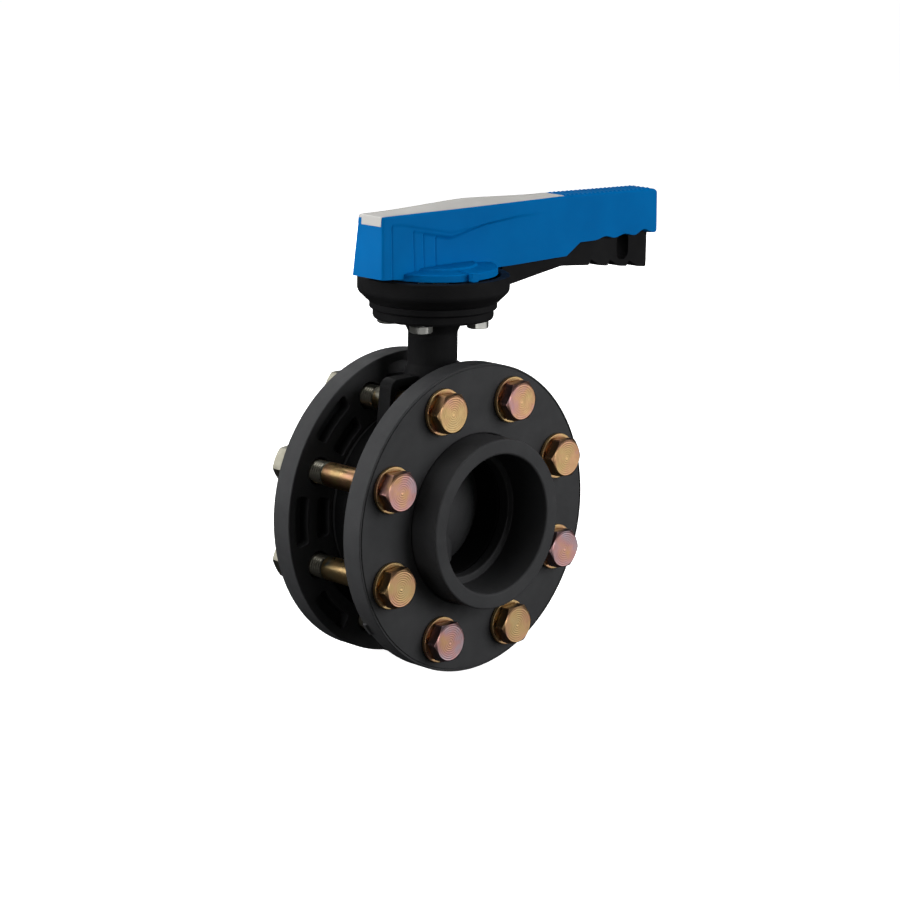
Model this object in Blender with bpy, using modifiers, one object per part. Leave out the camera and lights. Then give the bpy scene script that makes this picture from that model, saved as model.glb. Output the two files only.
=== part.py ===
"""Lever-operated wafer butterfly valve, clamped between two loose flange rings.

The pipe runs along Y and the stem along Z. They cross at the origin. The lever
points along +X when the valve is shut, and swings a quarter turn towards +Y to
open it. All sizes are in metres.
"""
import math

import bmesh
import bpy
from mathutils import Matrix, Vector

MM = 0.001

# Fits
GAP = 0.3 * MM
STEM_CLEARANCE = 0.4 * MM
DISC_CLEARANCE = 0.5 * MM
SLIDE_CLEARANCE = 0.6 * MM
LEVER_CLEARANCE = 0.5 * MM
CUT_OVERRUN = 1.5 * MM
MERGE = 0.001 * MM

# Backing rings and stub ends
RING_DIAMETER = 200 * MM
RING_THICKNESS = 15 * MM
RING_EDGE = 1.5 * MM
HUB_DIAMETER = 110 * MM
HUB_REACH = 21 * MM
HUB_EDGE = 1.5 * MM
COLLAR_DIAMETER = 125 * MM
COLLAR_THICKNESS = 9 * MM
COLLAR_PROUD = 2 * MM
SOCKET_DIAMETER = 90 * MM
SOCKET_DEPTH = 30 * MM
PIPE_BORE = 80 * MM

# Weight-saving slots in the inner face of each ring
SLOT_WIDTH = 10 * MM
SLOT_DEPTH = 8 * MM
SLOT_HALF_ANGLE = math.radians(9.5)
SLOT_LIP = 6 * MM
SLOT_RIB = 8 * MM

# Flange bolts
BOLT_COUNT = 8
BOLT_CIRCLE = 160 * MM
BOLT_DIAMETER = 16 * MM
BOLT_HOLE = 18 * MM
BOLT_HEAD_FLATS = 24 * MM
BOLT_HEAD_HEIGHT = 8 * MM
BOLT_THREAD_LENGTH = 46 * MM
BOLT_STICKOUT = 5 * MM
THREAD_RELIEF = 0.3 * MM
THREAD_CHAMFER = 0.6 * MM
NUT_HEIGHT = 13 * MM
WASHER_DIAMETER = 30 * MM
WASHER_THICKNESS = 2.5 * MM

# Valve body
BODY_LENGTH = 46 * MM
BODY_DIAMETER = 128 * MM
NECK_DIAMETER = 32 * MM
LUG_TOP = 90 * MM
LUG_HALF_WIDTH = 41 * MM
LUG_FLARE = 4 * MM
LUG_ROOT = 48 * MM
LUG_THICKNESS = 11 * MM
LUG_RIM = 5 * MM
LUG_WEB = 4 * MM
LUG_CORNER = 6 * MM
FOOT_BOSS_PROUD = 2 * MM
TOP_FLANGE_Z = 136.5 * MM
TOP_FLANGE_DIAMETER = 82 * MM
TOP_FLANGE_THICKNESS = 11 * MM
TOP_FLANGE_CHAMFER = 2.6 * MM
NECK_FLARE = 9 * MM

# Liner, disc and stem
LINER_WALL = 10 * MM
LINER_LIP = 3 * MM
LINER_LIP_DIAMETER = 112 * MM
DISC_RIM = 6 * MM
DISC_CORE = 34 * MM
DISC_BOSS_DIAMETER = 28 * MM
STEM_DIAMETER = 20 * MM
STEM_FOOT_Z = -66 * MM
STEM_SHOULDER_RISE = 3 * MM
STEM_SQUARE = 14 * MM
STEM_SQUARE_LENGTH = 38 * MM
STEM_SQUARE_ROOT = 2 * MM
BUSH_WALL = 2.6 * MM
UPPER_BUSH_LENGTH = 28 * MM
LOWER_BUSH_LENGTH = 14 * MM
SEAL_GROOVE_DEPTH = 2 * MM
UPPER_SEAL_HEIGHTS = (74 * MM, 86 * MM)
RETAINER_DIAMETER = 29 * MM
RETAINER_THICKNESS = 2 * MM
RETAINER_GROOVE = 1.6 * MM
RETAINER_MOUTH = 9 * MM
RETAINER_SUNK = 1.2 * MM
PLUG_LENGTH = 14 * MM
PLUG_KEY_FLATS = 12 * MM
PLUG_KEY_DEPTH = 7 * MM

# Throttle plate and its bolts
THROTTLE_DIAMETER = 97.6 * MM
THROTTLE_FOOT_DIAMETER = 84 * MM
THROTTLE_HEIGHT = 16.7 * MM
THROTTLE_ROUND = 6.5 * MM
THROTTLE_FLOOR = 9 * MM
THROTTLE_WALL = 6 * MM
NOTCH_DEPTH = 3 * MM
NOTCH_WIDTH = 3.4 * MM
NOTCH_PITCH = math.radians(7.5)
LEVER_TRAVEL = math.radians(90)
PLATE_BOLT_COUNT = 4
PLATE_BOLT_EDGE = 11.5 * MM
PLATE_BOLT_TURN = math.radians(31)
PLATE_BOLT_DIAMETER = 8 * MM
PLATE_BOLT_HOLE = 9 * MM
PLATE_BOLT_FLATS = 13 * MM
PLATE_BOLT_HEAD = 5.3 * MM

# Lever
LEVER_HEIGHT = 41 * MM
LEVER_BACK = 58 * MM
LEVER_REACH = 201.5 * MM
HEAD_WIDTH = 29 * MM
GRIP_WIDTH = 24.6 * MM
LEVER_ROOF = 4 * MM
LEVER_WALL = 3.2 * MM
LEVER_EDGE = 2 * MM
GRIP_LENGTH = 91.5 * MM
GRIP_RAISE = 9 * MM
GRIP_RAMP = 13 * MM
GRIP_TOP_FALL = 3 * MM
SKIRT_DIAMETER = 82 * MM
SKIRT_HEIGHT = 6 * MM
SOCKET_BOSS_LENGTH = 36 * MM
PANEL_LEFT = (-49 * MM, -29 * MM, -20 * MM, -9 * MM)
PANEL_STEP = 0.8 * MM
PANEL_LOW_X = -3 * MM
PANEL_LEDGE = 2 * MM
PANEL_TOP_LEFT = 34 * MM
PANEL_TOP_LOW = 26 * MM
PANEL_TOP_RIGHT = 34.5 * MM
INLAY_THICKNESS = 1.8 * MM
INLAY_BORDER = 2.5 * MM
INLAY_APRON = 6 * MM
CROWN_RISE = 4 * MM
CROWN_X = 25 * MM
CROWN_REACH = 80 * MM
CROWN_SPLITS = (-0.22, 0, 0.22)
SCALLOP_LENGTH = 62.5 * MM
SCALLOP_PITCH = 19.5 * MM
SCALLOP_DEPTH = 1.8 * MM

# Trigger, its pin and its spring
TRIGGER_WIDTH = 17 * MM
TRIGGER_WALL = 2.8 * MM
PIVOT_X = 80 * MM
PIVOT_HEIGHT = 17.5 * MM
PIN_DIAMETER = 6 * MM
PIN_SEAT = 1.5 * MM
TRIGGER_BOSS_DIAMETER = 14 * MM
TRIGGER_END_GAP = 7 * MM
TRIGGER_TOP = 14 * MM
FINGER_PITCH = 19 * MM
FINGER_COUNT = 3
FINGER_DEPTH = 3.2 * MM
FINGER_STEEP = 2.2 * MM
FINGER_GENTLE = 9 * MM
TRIGGER_KNEE_DROP = 6 * MM
TRIGGER_GRIP_DROP = 8 * MM
TRIGGER_END_DROP = 14.4 * MM
TOOTH_WIDTH = 2.6 * MM
TOOTH_HEIGHT = 8 * MM
TOOTH_SETBACK = 5 * MM
LOCK_HOLE_SETBACK = 31.5 * MM
LOCK_HOLE_WIDTH = 11.5 * MM
LOCK_HOLE_HEIGHT = 18 * MM
LOCK_HOLE_FLOOR = 7 * MM
SPRING_SETBACK = 65.5 * MM
SPRING_DIAMETER = 9 * MM
SPRING_WIRE = 1.2 * MM
SPRING_TURNS = 6
SPRING_SEAT = 14 * MM

# Lever screw
SCREW_LENGTH = 24 * MM
SCREW_PLAIN = 8 * MM
SCREW_FLOOR = 5 * MM
SCREW_WASHER_DIAMETER = 16 * MM
SCREW_WASHER_THICKNESS = 1.6 * MM

# Smoothness of round shapes
STEPS_LARGE = 48
STEPS_MEDIUM = 28
STEPS_SMALL = 14
STEPS_BOLT = 12
STEPS_SLOT = 3
STEPS_SEAL = 6
STEPS_SPRING = 8
STEPS_PLATE_ROUND = 4
STEPS_SCALLOP = 5
STEPS_CROWN = 8
SHARP_ANGLE = math.radians(35)
BEVEL_ANGLE = math.radians(60)

# Places worked out from the sizes above, measured along the pipe from the middle
COLLAR_FACE = BODY_LENGTH / 2 + GAP
RING_INNER = COLLAR_FACE + COLLAR_PROUD
COLLAR_BACK = COLLAR_FACE + COLLAR_THICKNESS
RING_OUTER = RING_INNER + RING_THICKNESS
HUB_END = RING_OUTER + HUB_REACH
OUTER_SLOT_RADIUS = RING_DIAMETER / 2 - SLOT_LIP - SLOT_WIDTH / 2
INNER_SLOT_RADIUS = OUTER_SLOT_RADIUS - SLOT_WIDTH - SLOT_RIB
SOCKET_STOP = HUB_END - SOCKET_DEPTH
WASHER_SEAT = RING_OUTER + GAP
WASHER_TOP = WASHER_SEAT + WASHER_THICKNESS
HEAD_SEAT = WASHER_TOP + GAP
NUT_TOP = HEAD_SEAT + NUT_HEIGHT
BOLT_TIP = NUT_TOP + BOLT_STICKOUT

# Places worked out along the lever, from its far end
GRIP_START = LEVER_REACH - GRIP_LENGTH
SCALLOP_START = LEVER_REACH - SCALLOP_LENGTH
FINGER_FIRST = SCALLOP_START
LOCK_HOLE_X = LEVER_REACH - LOCK_HOLE_SETBACK
SPRING_X = LEVER_REACH - SPRING_SETBACK
TRIGGER_END = LEVER_REACH - TRIGGER_END_GAP

# Places worked out along the stem
STEM_HOLE = STEM_DIAMETER / 2 + STEM_CLEARANCE
BUSH_OUTER = STEM_HOLE + BUSH_WALL
BUSH_BORE = BUSH_OUTER + GAP
FLANGE_UNDER = TOP_FLANGE_Z - TOP_FLANGE_THICKNESS
RETAINER_FLOOR = TOP_FLANGE_Z - RETAINER_THICKNESS - RETAINER_SUNK
UPPER_BUSH_TOP = RETAINER_FLOOR - GAP
UPPER_BUSH_FOOT = UPPER_BUSH_TOP - UPPER_BUSH_LENGTH
PLUG_TOP = STEM_FOOT_Z - GAP
BODY_FOOT = -LUG_TOP - FOOT_BOSS_PROUD
THROTTLE_FOOT = TOP_FLANGE_Z + GAP
THROTTLE_TOP = THROTTLE_FOOT + THROTTLE_HEIGHT
THROTTLE_BED = THROTTLE_FOOT + THROTTLE_FLOOR
PLATE_HEAD_TOP = FLANGE_UNDER - GAP
PLATE_BOLT_CIRCLE = TOP_FLANGE_DIAMETER - 2 * PLATE_BOLT_EDGE
LEVER_BASE = THROTTLE_TOP + LEVER_CLEARANCE
LEVER_TOP = LEVER_BASE + LEVER_HEIGHT
STEM_SHOULDER = THROTTLE_FOOT + STEM_SHOULDER_RISE
STEM_TOP = STEM_SHOULDER + STEM_SQUARE_LENGTH
SOCKET_ROOF = STEM_TOP + GAP
SCREW_SEAT = SOCKET_ROOF + SCREW_FLOOR
PIVOT_Z = LEVER_BASE + PIVOT_HEIGHT
NOTCH_ROOT = THROTTLE_DIAMETER / 2 - NOTCH_DEPTH
TRIGGER_FRONT = THROTTLE_DIAMETER / 2 + TOOTH_SETBACK
DISC_RADIUS = PIPE_BORE / 2 - DISC_CLEARANCE
LINER_OUTER = PIPE_BORE / 2 + LINER_WALL


def clear_scene():
    for old in list(bpy.data.objects):
        bpy.data.objects.remove(old, do_unlink=True)


def new_collection(name):
    collection = bpy.data.collections.new(name)
    bpy.context.scene.collection.children.link(collection)
    return collection


def make_material(name, colour, roughness, metallic=0.0):
    material = bpy.data.materials.new(name)
    material.use_nodes = True
    shader = material.node_tree.nodes["Principled BSDF"]
    shader.inputs["Base Color"].default_value = (*colour, 1.0)
    shader.inputs["Roughness"].default_value = roughness
    shader.inputs["Metallic"].default_value = metallic
    return material


clear_scene()
PARTS = new_collection("butterfly_valve")
CUTTERS = new_collection("cutters")


def as_cutter(obj):
    """Keep a helper shape out of the finished model."""
    for collection in obj.users_collection:
        collection.objects.unlink(obj)
    CUTTERS.objects.link(obj)
    obj.hide_render = True
    obj.display_type = "WIRE"
    return obj


def as_part(obj, material, parent=None):
    """Give a finished piece its material, its collection and its carrier."""
    for collection in obj.users_collection:
        collection.objects.unlink(obj)
    PARTS.objects.link(obj)
    obj.data.materials.clear()
    obj.data.materials.append(material)
    if parent is not None:
        obj.parent = parent
    return obj


def add_object(name, mesh):
    obj = bpy.data.objects.new(name, mesh)
    bpy.context.scene.collection.objects.link(obj)
    return obj


def object_from_bmesh(name, bm):
    bmesh.ops.recalc_face_normals(bm, faces=bm.faces)
    mesh = bpy.data.meshes.new(name)
    bm.to_mesh(mesh)
    bm.free()
    return add_object(name, mesh)


def baked(obj):
    """Return the mesh of an object with its modifiers carried out, in its own axes."""
    bpy.context.view_layer.update()
    graph = bpy.context.evaluated_depsgraph_get()
    return bpy.data.meshes.new_from_object(obj.evaluated_get(graph))


def boolean(target, tool, operation):
    """Cut, join or trim the target with a helper shape."""
    modifier = target.modifiers.new(tool.name, "BOOLEAN")
    modifier.operation = operation
    modifier.solver = "EXACT"
    modifier.object = as_cutter(tool)


def cut(target, *tools):
    for tool in tools:
        boolean(target, tool, "DIFFERENCE")


def join(target, *tools):
    for tool in tools:
        boolean(target, tool, "UNION")


def turned(name, profile, steps, closed=True):
    """Turn a profile of (radius, height) points about Z, outer side from top to bottom."""
    mesh = bpy.data.meshes.new(name)
    points = [(radius, 0, height) for radius, height in profile]
    edges = [(i, i + 1) for i in range(len(points) - 1)]
    if closed:
        edges.append((len(points) - 1, 0))
    mesh.from_pydata(points, edges, [])
    obj = add_object(name, mesh)
    screw = obj.modifiers.new("turn", "SCREW")
    screw.steps = steps
    screw.render_steps = steps
    screw.use_merge_vertices = True
    screw.merge_threshold = MERGE
    screw.use_smooth_shade = True
    return obj


def tube(name, outer, inner, low, high, steps):
    return turned(name, [(outer, high), (outer, low), (inner, low), (inner, high)], steps)


def rod(name, radius, low, high, steps):
    return turned(name, [(0, high), (radius, high), (radius, low), (0, low)], steps, closed=False)


def rods(name, radius, low, high, places, steps):
    """Several upright cylinders in one mesh, at (x, y) places."""
    bm = bmesh.new()
    for x, y in places:
        middle = Matrix.Translation((x, y, (low + high) / 2))
        bmesh.ops.create_cone(bm, cap_ends=True, segments=steps, radius1=radius, radius2=radius,
                              depth=high - low, matrix=middle)
    return object_from_bmesh(name, bm)


def hex_bar(name, flats, low, high):
    radius = flats / math.sqrt(3)
    return rods(name, radius, low, high, [(0, 0)], 6)


def block(name, low, high):
    """A box between two corners."""
    bm = bmesh.new()
    size = Vector(high) - Vector(low)
    middle = (Vector(high) + Vector(low)) / 2
    bmesh.ops.create_cube(bm, size=1, matrix=Matrix.Translation(middle) @ Matrix.Diagonal((*size, 1)))
    return object_from_bmesh(name, bm)


def rounded(corners, radius, steps=3):
    """Replace each corner of an outline with an arc of the given radius."""
    outline = []
    count = len(corners)
    for i, corner in enumerate(corners):
        here = Vector(corner)
        before = (Vector(corners[i - 1]) - here).normalized()
        after = (Vector(corners[(i + 1) % count]) - here).normalized()
        half = before.angle(after) / 2
        centre = here + (before + after).normalized() * radius / math.sin(half)
        start = here + before * radius / math.tan(half) - centre
        end = here + after * radius / math.tan(half) - centre
        turn = start.angle_signed(end)
        for k in range(steps + 1):
            step = start.copy()
            step.rotate(Matrix.Rotation(-turn * k / steps, 2))
            outline.append(tuple(centre + step))
    return outline


def prism(name, outline, low, high):
    """Extrude an outline of (x, z) points along Y."""
    curve = bpy.data.curves.new(name, "CURVE")
    curve.dimensions = "2D"
    curve.fill_mode = "BOTH"
    curve.extrude = (high - low) / 2
    spline = curve.splines.new("POLY")
    spline.points.add(len(outline) - 1)
    for point, (x, z) in zip(spline.points, outline):
        point.co = (x, z, 0, 1)
    spline.use_cyclic_u = True
    holder = add_object(name, curve)
    bm = bmesh.new()
    bm.from_mesh(baked(holder))
    bpy.data.objects.remove(holder)
    bmesh.ops.remove_doubles(bm, verts=bm.verts, dist=MERGE)
    bmesh.ops.dissolve_limit(bm, angle_limit=0.001, verts=bm.verts, edges=bm.edges)
    middle = (low + high) / 2
    for vert in bm.verts:
        vert.co = (vert.co.x, middle - vert.co.z, vert.co.y)
    return object_from_bmesh(name, bm)


def ring_places(count, circle, first):
    """Points (x, y) spread evenly on a circle."""
    angles = [first + 2 * math.pi * i / count for i in range(count)]
    return [(circle / 2 * math.cos(a), circle / 2 * math.sin(a)) for a in angles]


def smooth(obj):
    """Shade a round piece smooth, with its real edges kept sharp."""
    mesh = baked(obj)
    obj.modifiers.clear()
    obj.data = mesh
    mesh.shade_smooth()
    mesh.set_sharp_from_angle(angle=SHARP_ANGLE)
    return obj


def laid(name, source, matrix):
    """A finished shape moved into place, as a plain mesh."""
    mesh = smooth(source).data
    mesh.transform(matrix)
    bpy.data.objects.remove(source)
    return add_object(name, mesh)


def copies(name, source, matrices, material, parent=None):
    """Numbered objects that share one finished mesh."""
    mesh = smooth(source).data
    bpy.data.objects.remove(source)
    for number, matrix in enumerate(matrices, 1):
        obj = add_object(f"{name}_{number}", mesh)
        obj.matrix_world = matrix
        as_part(obj, material, parent)


# Turns an axis that points up into one along the pipe, to the rear or to the front
TO_REAR = Matrix.Rotation(-math.pi / 2, 4, "X")
TO_FRONT = Matrix.Rotation(math.pi / 2, 4, "X")
BOLT_PLACES = ring_places(BOLT_COUNT, BOLT_CIRCLE, math.pi / BOLT_COUNT)
PLATE_BOLT_PLACES = ring_places(PLATE_BOLT_COUNT, PLATE_BOLT_CIRCLE, PLATE_BOLT_TURN)

PVC = make_material("grey_pvc", (0.045, 0.047, 0.050), 0.55)
BODY_PLASTIC = make_material("black_plastic", (0.012, 0.012, 0.013), 0.5)
RUBBER = make_material("black_rubber", (0.010, 0.010, 0.010), 0.8)
LEVER_PLASTIC = make_material("blue_plastic", (0.0, 0.13, 0.42), 0.4)
INLAY_PLASTIC = make_material("pale_grey_plastic", (0.60, 0.58, 0.55), 0.45)
GOLD_ZINC = make_material("yellow_zinc_steel", (0.55, 0.40, 0.20), 0.35, 1.0)
STAINLESS = make_material("stainless_steel", (0.55, 0.55, 0.52), 0.3, 1.0)
BUSH_PLASTIC = make_material("white_bearing_plastic", (0.75, 0.75, 0.72), 0.5)


def ring_segment(bm, radius, width, low, high, middle_angle, half_angle):
    """Add a curved bar about Z to a mesh."""
    start = middle_angle - half_angle
    across = Vector((math.cos(start), math.sin(start), 0))
    corners = [(radius - width / 2, low), (radius + width / 2, low),
               (radius + width / 2, high), (radius - width / 2, high)]
    verts = [bm.verts.new(across * r + Vector((0, 0, z))) for r, z in corners]
    face = bm.faces.new(verts)
    bmesh.ops.spin(bm, geom=[face, *face.edges, *verts], cent=(0, 0, 0), axis=(0, 0, 1),
                   angle=2 * half_angle, steps=STEPS_SLOT, use_duplicate=False)


def slot_cutter(name):
    """The two rows of curved slots, one pair between each two bolts."""
    bm = bmesh.new()
    for i in range(BOLT_COUNT):
        angle = 2 * math.pi * i / BOLT_COUNT
        for radius in (OUTER_SLOT_RADIUS, INNER_SLOT_RADIUS):
            ring_segment(bm, radius, SLOT_WIDTH, RING_INNER - SLOT_DEPTH, RING_INNER + SLOT_DEPTH,
                         angle, SLOT_HALF_ANGLE)
    return object_from_bmesh(name, bm)


def backing_ring(name, turn):
    outer = RING_DIAMETER / 2
    hole = HUB_DIAMETER / 2 + GAP
    recess = COLLAR_DIAMETER / 2 + GAP
    recess_floor = COLLAR_BACK + GAP
    profile = [(hole, RING_OUTER), (outer - RING_EDGE, RING_OUTER), (outer, RING_OUTER - RING_EDGE),
               (outer, RING_INNER + RING_EDGE), (outer - RING_EDGE, RING_INNER),
               (recess, RING_INNER), (recess, recess_floor), (hole, recess_floor)]
    ring = turned(name, profile, STEPS_LARGE)
    holes = rods(name + "_holes", BOLT_HOLE / 2, RING_INNER - SLOT_DEPTH, RING_OUTER + SLOT_DEPTH,
                 BOLT_PLACES, STEPS_BOLT)
    cut(ring, holes, slot_cutter(name + "_slots"))
    smooth(ring)
    ring.matrix_world = turn
    return as_part(ring, PVC)


def stub_end(name, turn):
    hub = HUB_DIAMETER / 2
    collar = COLLAR_DIAMETER / 2
    socket = SOCKET_DIAMETER / 2
    bore = PIPE_BORE / 2
    profile = [(socket + HUB_EDGE, HUB_END), (hub - HUB_EDGE, HUB_END), (hub, HUB_END - HUB_EDGE),
               (hub, COLLAR_BACK), (collar, COLLAR_BACK), (collar, COLLAR_FACE),
               (bore, COLLAR_FACE), (bore, SOCKET_STOP), (socket, SOCKET_STOP),
               (socket, HUB_END - HUB_EDGE)]
    stub = smooth(turned(name, profile, STEPS_LARGE))
    stub.matrix_world = turn
    return as_part(stub, PVC)


def bolt_shape(name, diameter, flats, head, seat, tip, thread_from):
    """A hex bolt along +Z: the head below the seat, the shank up to the tip."""
    bolt = hex_bar(name, flats, seat - head, seat)
    corner = flats / math.sqrt(3)
    crown = turned(name + "_crown", [(0, seat + head), (corner + head, seat + head),
                                     (corner + head, seat - head / 2), (flats / 2, seat - head),
                                     (0, seat - head)], STEPS_BOLT, closed=False)
    radius = diameter / 2
    thread = radius - THREAD_RELIEF
    shank = turned(name + "_shank", [(0, tip), (thread - THREAD_CHAMFER, tip),
                                     (thread, tip - THREAD_CHAMFER), (thread, thread_from),
                                     (radius, thread_from), (radius, seat - head / 2),
                                     (0, seat - head / 2)],
                   STEPS_BOLT, closed=False)
    boolean(bolt, crown, "INTERSECT")
    join(bolt, shank)
    return bolt


def nut_shape(name, diameter, flats, low, high):
    nut = hex_bar(name, flats, low, high)
    corner = flats / math.sqrt(3)
    chamfer = (corner - flats / 2) / 2
    barrel = turned(name + "_barrel", [(0, high), (flats / 2, high), (corner, high - chamfer),
                                       (corner, low - chamfer), (0, low - chamfer)],
                    STEPS_BOLT, closed=False)
    boolean(nut, barrel, "INTERSECT")
    cut(nut, rod(name + "_bore", diameter / 2, low - diameter, high + diameter, STEPS_BOLT))
    return nut


def flange_fasteners():
    """Bolts from the front ring to the rear ring, with washers and nuts."""
    spots = [TO_REAR @ Matrix.Translation((x, y, 0)) for x, y in BOLT_PLACES]
    bolt = bolt_shape("bolt", BOLT_DIAMETER, BOLT_HEAD_FLATS, BOLT_HEAD_HEIGHT, -HEAD_SEAT, BOLT_TIP,
                      BOLT_TIP - BOLT_THREAD_LENGTH)
    nut = nut_shape("nut", BOLT_DIAMETER, BOLT_HEAD_FLATS, HEAD_SEAT, NUT_TOP)
    washer_hole = BOLT_DIAMETER / 2 + GAP
    front = tube("front_washer", WASHER_DIAMETER / 2, washer_hole, -WASHER_TOP, -WASHER_SEAT, STEPS_BOLT)
    rear = tube("rear_washer", WASHER_DIAMETER / 2, washer_hole, WASHER_SEAT, WASHER_TOP, STEPS_BOLT)
    for name, shape in (("flange_bolt", bolt), ("flange_nut", nut),
                        ("head_washer", front), ("nut_washer", rear)):
        copies(name, shape, spots, GOLD_ZINC)


def lug_shape(name, side):
    """A plate with a raised rim above (side 1) or below (side -1) the pipe, for two bolts."""
    foot = LUG_HALF_WIDTH + LUG_FLARE
    corners = [(-LUG_HALF_WIDTH, LUG_TOP), (LUG_HALF_WIDTH, LUG_TOP), (foot, LUG_ROOT), (-foot, LUG_ROOT)]
    inner = [(-LUG_HALF_WIDTH + LUG_RIM, LUG_TOP - LUG_RIM), (LUG_HALF_WIDTH - LUG_RIM, LUG_TOP - LUG_RIM),
             (foot - LUG_RIM, LUG_ROOT + LUG_RIM), (-foot + LUG_RIM, LUG_ROOT + LUG_RIM)]

    def flipped(points):
        return [(x, side * z) for x, z in points]

    half = LUG_THICKNESS / 2
    lug = prism(name, flipped(rounded(corners, LUG_CORNER)), -half, half)
    pocket = flipped(rounded(inner, LUG_CORNER - LUG_RIM / 2))
    cut(lug, prism(name + "_front_pocket", pocket, -LUG_THICKNESS, -LUG_WEB / 2),
        prism(name + "_rear_pocket", pocket, LUG_WEB / 2, LUG_THICKNESS))
    return lug


def neck_shape():
    """The neck with its top flange, and the boss below the pipe."""
    neck = NECK_DIAMETER / 2
    flange = TOP_FLANGE_DIAMETER / 2
    clear_of_heads = PLATE_BOLT_CIRCLE / 2 - PLATE_BOLT_FLATS / math.sqrt(3)
    profile = [(0, TOP_FLANGE_Z), (flange, TOP_FLANGE_Z), (flange, FLANGE_UNDER + TOP_FLANGE_CHAMFER),
               (flange - TOP_FLANGE_CHAMFER, FLANGE_UNDER), (clear_of_heads, FLANGE_UNDER),
               (neck + NECK_FLARE / 3, FLANGE_UNDER - NECK_FLARE / 3), (neck, FLANGE_UNDER - NECK_FLARE),
               (neck, BODY_FOOT), (0, BODY_FOOT)]
    return turned("body_neck", profile, STEPS_MEDIUM, closed=False)


def valve_body():
    outer = BODY_DIAMETER / 2
    half = BODY_LENGTH / 2
    bore = LINER_OUTER + GAP
    lip = LINER_LIP_DIAMETER / 2 + GAP
    lip_floor = half - LINER_LIP - GAP
    ring = rod("body_ring", outer, -half, half, STEPS_LARGE)
    body = laid("valve_body", ring, TO_REAR)
    join(body, lug_shape("top_lug", 1), lug_shape("bottom_lug", -1), neck_shape())
    seat = turned("liner_seat", [(lip, half + CUT_OVERRUN), (lip, lip_floor), (bore, lip_floor),
                                 (bore, -lip_floor), (lip, -lip_floor), (lip, -half - CUT_OVERRUN),
                                 (0, -half - CUT_OVERRUN), (0, half + CUT_OVERRUN)], STEPS_LARGE)
    stem_bore = turned("stem_bore", [
        (0, TOP_FLANGE_Z + CUT_OVERRUN), (RETAINER_DIAMETER / 2 + GAP, TOP_FLANGE_Z + CUT_OVERRUN),
        (RETAINER_DIAMETER / 2 + GAP, RETAINER_FLOOR), (BUSH_BORE, RETAINER_FLOOR),
        (BUSH_BORE, UPPER_BUSH_FOOT - GAP), (STEM_HOLE, UPPER_BUSH_FOOT - GAP),
        (STEM_HOLE, -LINER_OUTER), (BUSH_BORE, -LINER_OUTER), (BUSH_BORE, BODY_FOOT - CUT_OVERRUN),
        (0, BODY_FOOT - CUT_OVERRUN)], STEPS_MEDIUM, closed=False)
    lug_holes = rods("lug_holes", BOLT_HOLE / 2, -LUG_THICKNESS, LUG_THICKNESS, lug_bolt_places(),
                     STEPS_BOLT)
    lug_holes.data.transform(TO_REAR)
    plate_holes = rods("top_flange_holes", PLATE_BOLT_HOLE / 2, FLANGE_UNDER - PLATE_BOLT_HEAD,
                       TOP_FLANGE_Z + PLATE_BOLT_HEAD, PLATE_BOLT_PLACES, STEPS_BOLT)
    cut(body, laid("liner_seat", seat, TO_REAR), stem_bore, lug_holes, plate_holes)
    return as_part(smooth(body), BODY_PLASTIC)


def lug_bolt_places():
    """The bolts that pass through the lugs, which are the ones nearest the stem."""
    return [(x, y) for x, y in BOLT_PLACES if abs(x) < LUG_HALF_WIDTH]


def seat_liner():
    bore = PIPE_BORE / 2
    lip = LINER_LIP_DIAMETER / 2
    half = BODY_LENGTH / 2
    lip_floor = half - LINER_LIP
    shape = turned("liner_turned", [(lip, half), (lip, lip_floor), (LINER_OUTER, lip_floor),
                                    (LINER_OUTER, -lip_floor), (lip, -lip_floor), (lip, -half),
                                    (bore, -half), (bore, half)], STEPS_LARGE)
    liner = laid("seat_liner", shape, TO_REAR)
    cut(liner, rod("liner_stem_hole", STEM_HOLE, -BODY_DIAMETER, BODY_DIAMETER, STEPS_MEDIUM))
    return as_part(smooth(liner), RUBBER)


def valve_disc(parent):
    rim = DISC_RIM / 2
    core = DISC_CORE / 2
    flat = DISC_BOSS_DIAMETER / 2
    shape = turned("disc_turned", [(0, core), (flat, core), (DISC_RADIUS, rim), (DISC_RADIUS, -rim),
                                   (flat, -core), (0, -core)], STEPS_LARGE, closed=False)
    disc = laid("valve_disc", shape, TO_REAR)
    boss_end = math.sqrt(DISC_RADIUS ** 2 - flat ** 2)
    join(disc, rod("disc_boss", flat, -boss_end, boss_end, STEPS_MEDIUM))
    cut(disc, rod("disc_stem_hole", STEM_DIAMETER / 2 + GAP, -BODY_DIAMETER, BODY_DIAMETER, STEPS_SMALL))
    return as_part(smooth(disc), PVC, parent)


def seal_section():
    """Radius of an O-ring's section, which leaves a gap on both sides."""
    return (SEAL_GROOVE_DEPTH + STEM_CLEARANCE - 2 * GAP) / 2


def stem_profile():
    radius = STEM_DIAMETER / 2
    groove = radius - SEAL_GROOVE_DEPTH
    half = seal_section() + GAP
    clip = radius - RETAINER_GROOVE
    clip_low = RETAINER_FLOOR
    profile = [(0, STEM_SHOULDER), (radius, STEM_SHOULDER)]
    clip_high = clip_low + RETAINER_THICKNESS + 2 * GAP
    profile += [(radius, clip_high), (clip, clip_high), (clip, clip_low), (radius, clip_low)]
    for height in reversed(UPPER_SEAL_HEIGHTS):
        profile += [(radius, height + half), (groove, height + half),
                    (groove, height - half), (radius, height - half)]
    return profile + [(radius, STEM_FOOT_Z), (0, STEM_FOOT_Z)]


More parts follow.
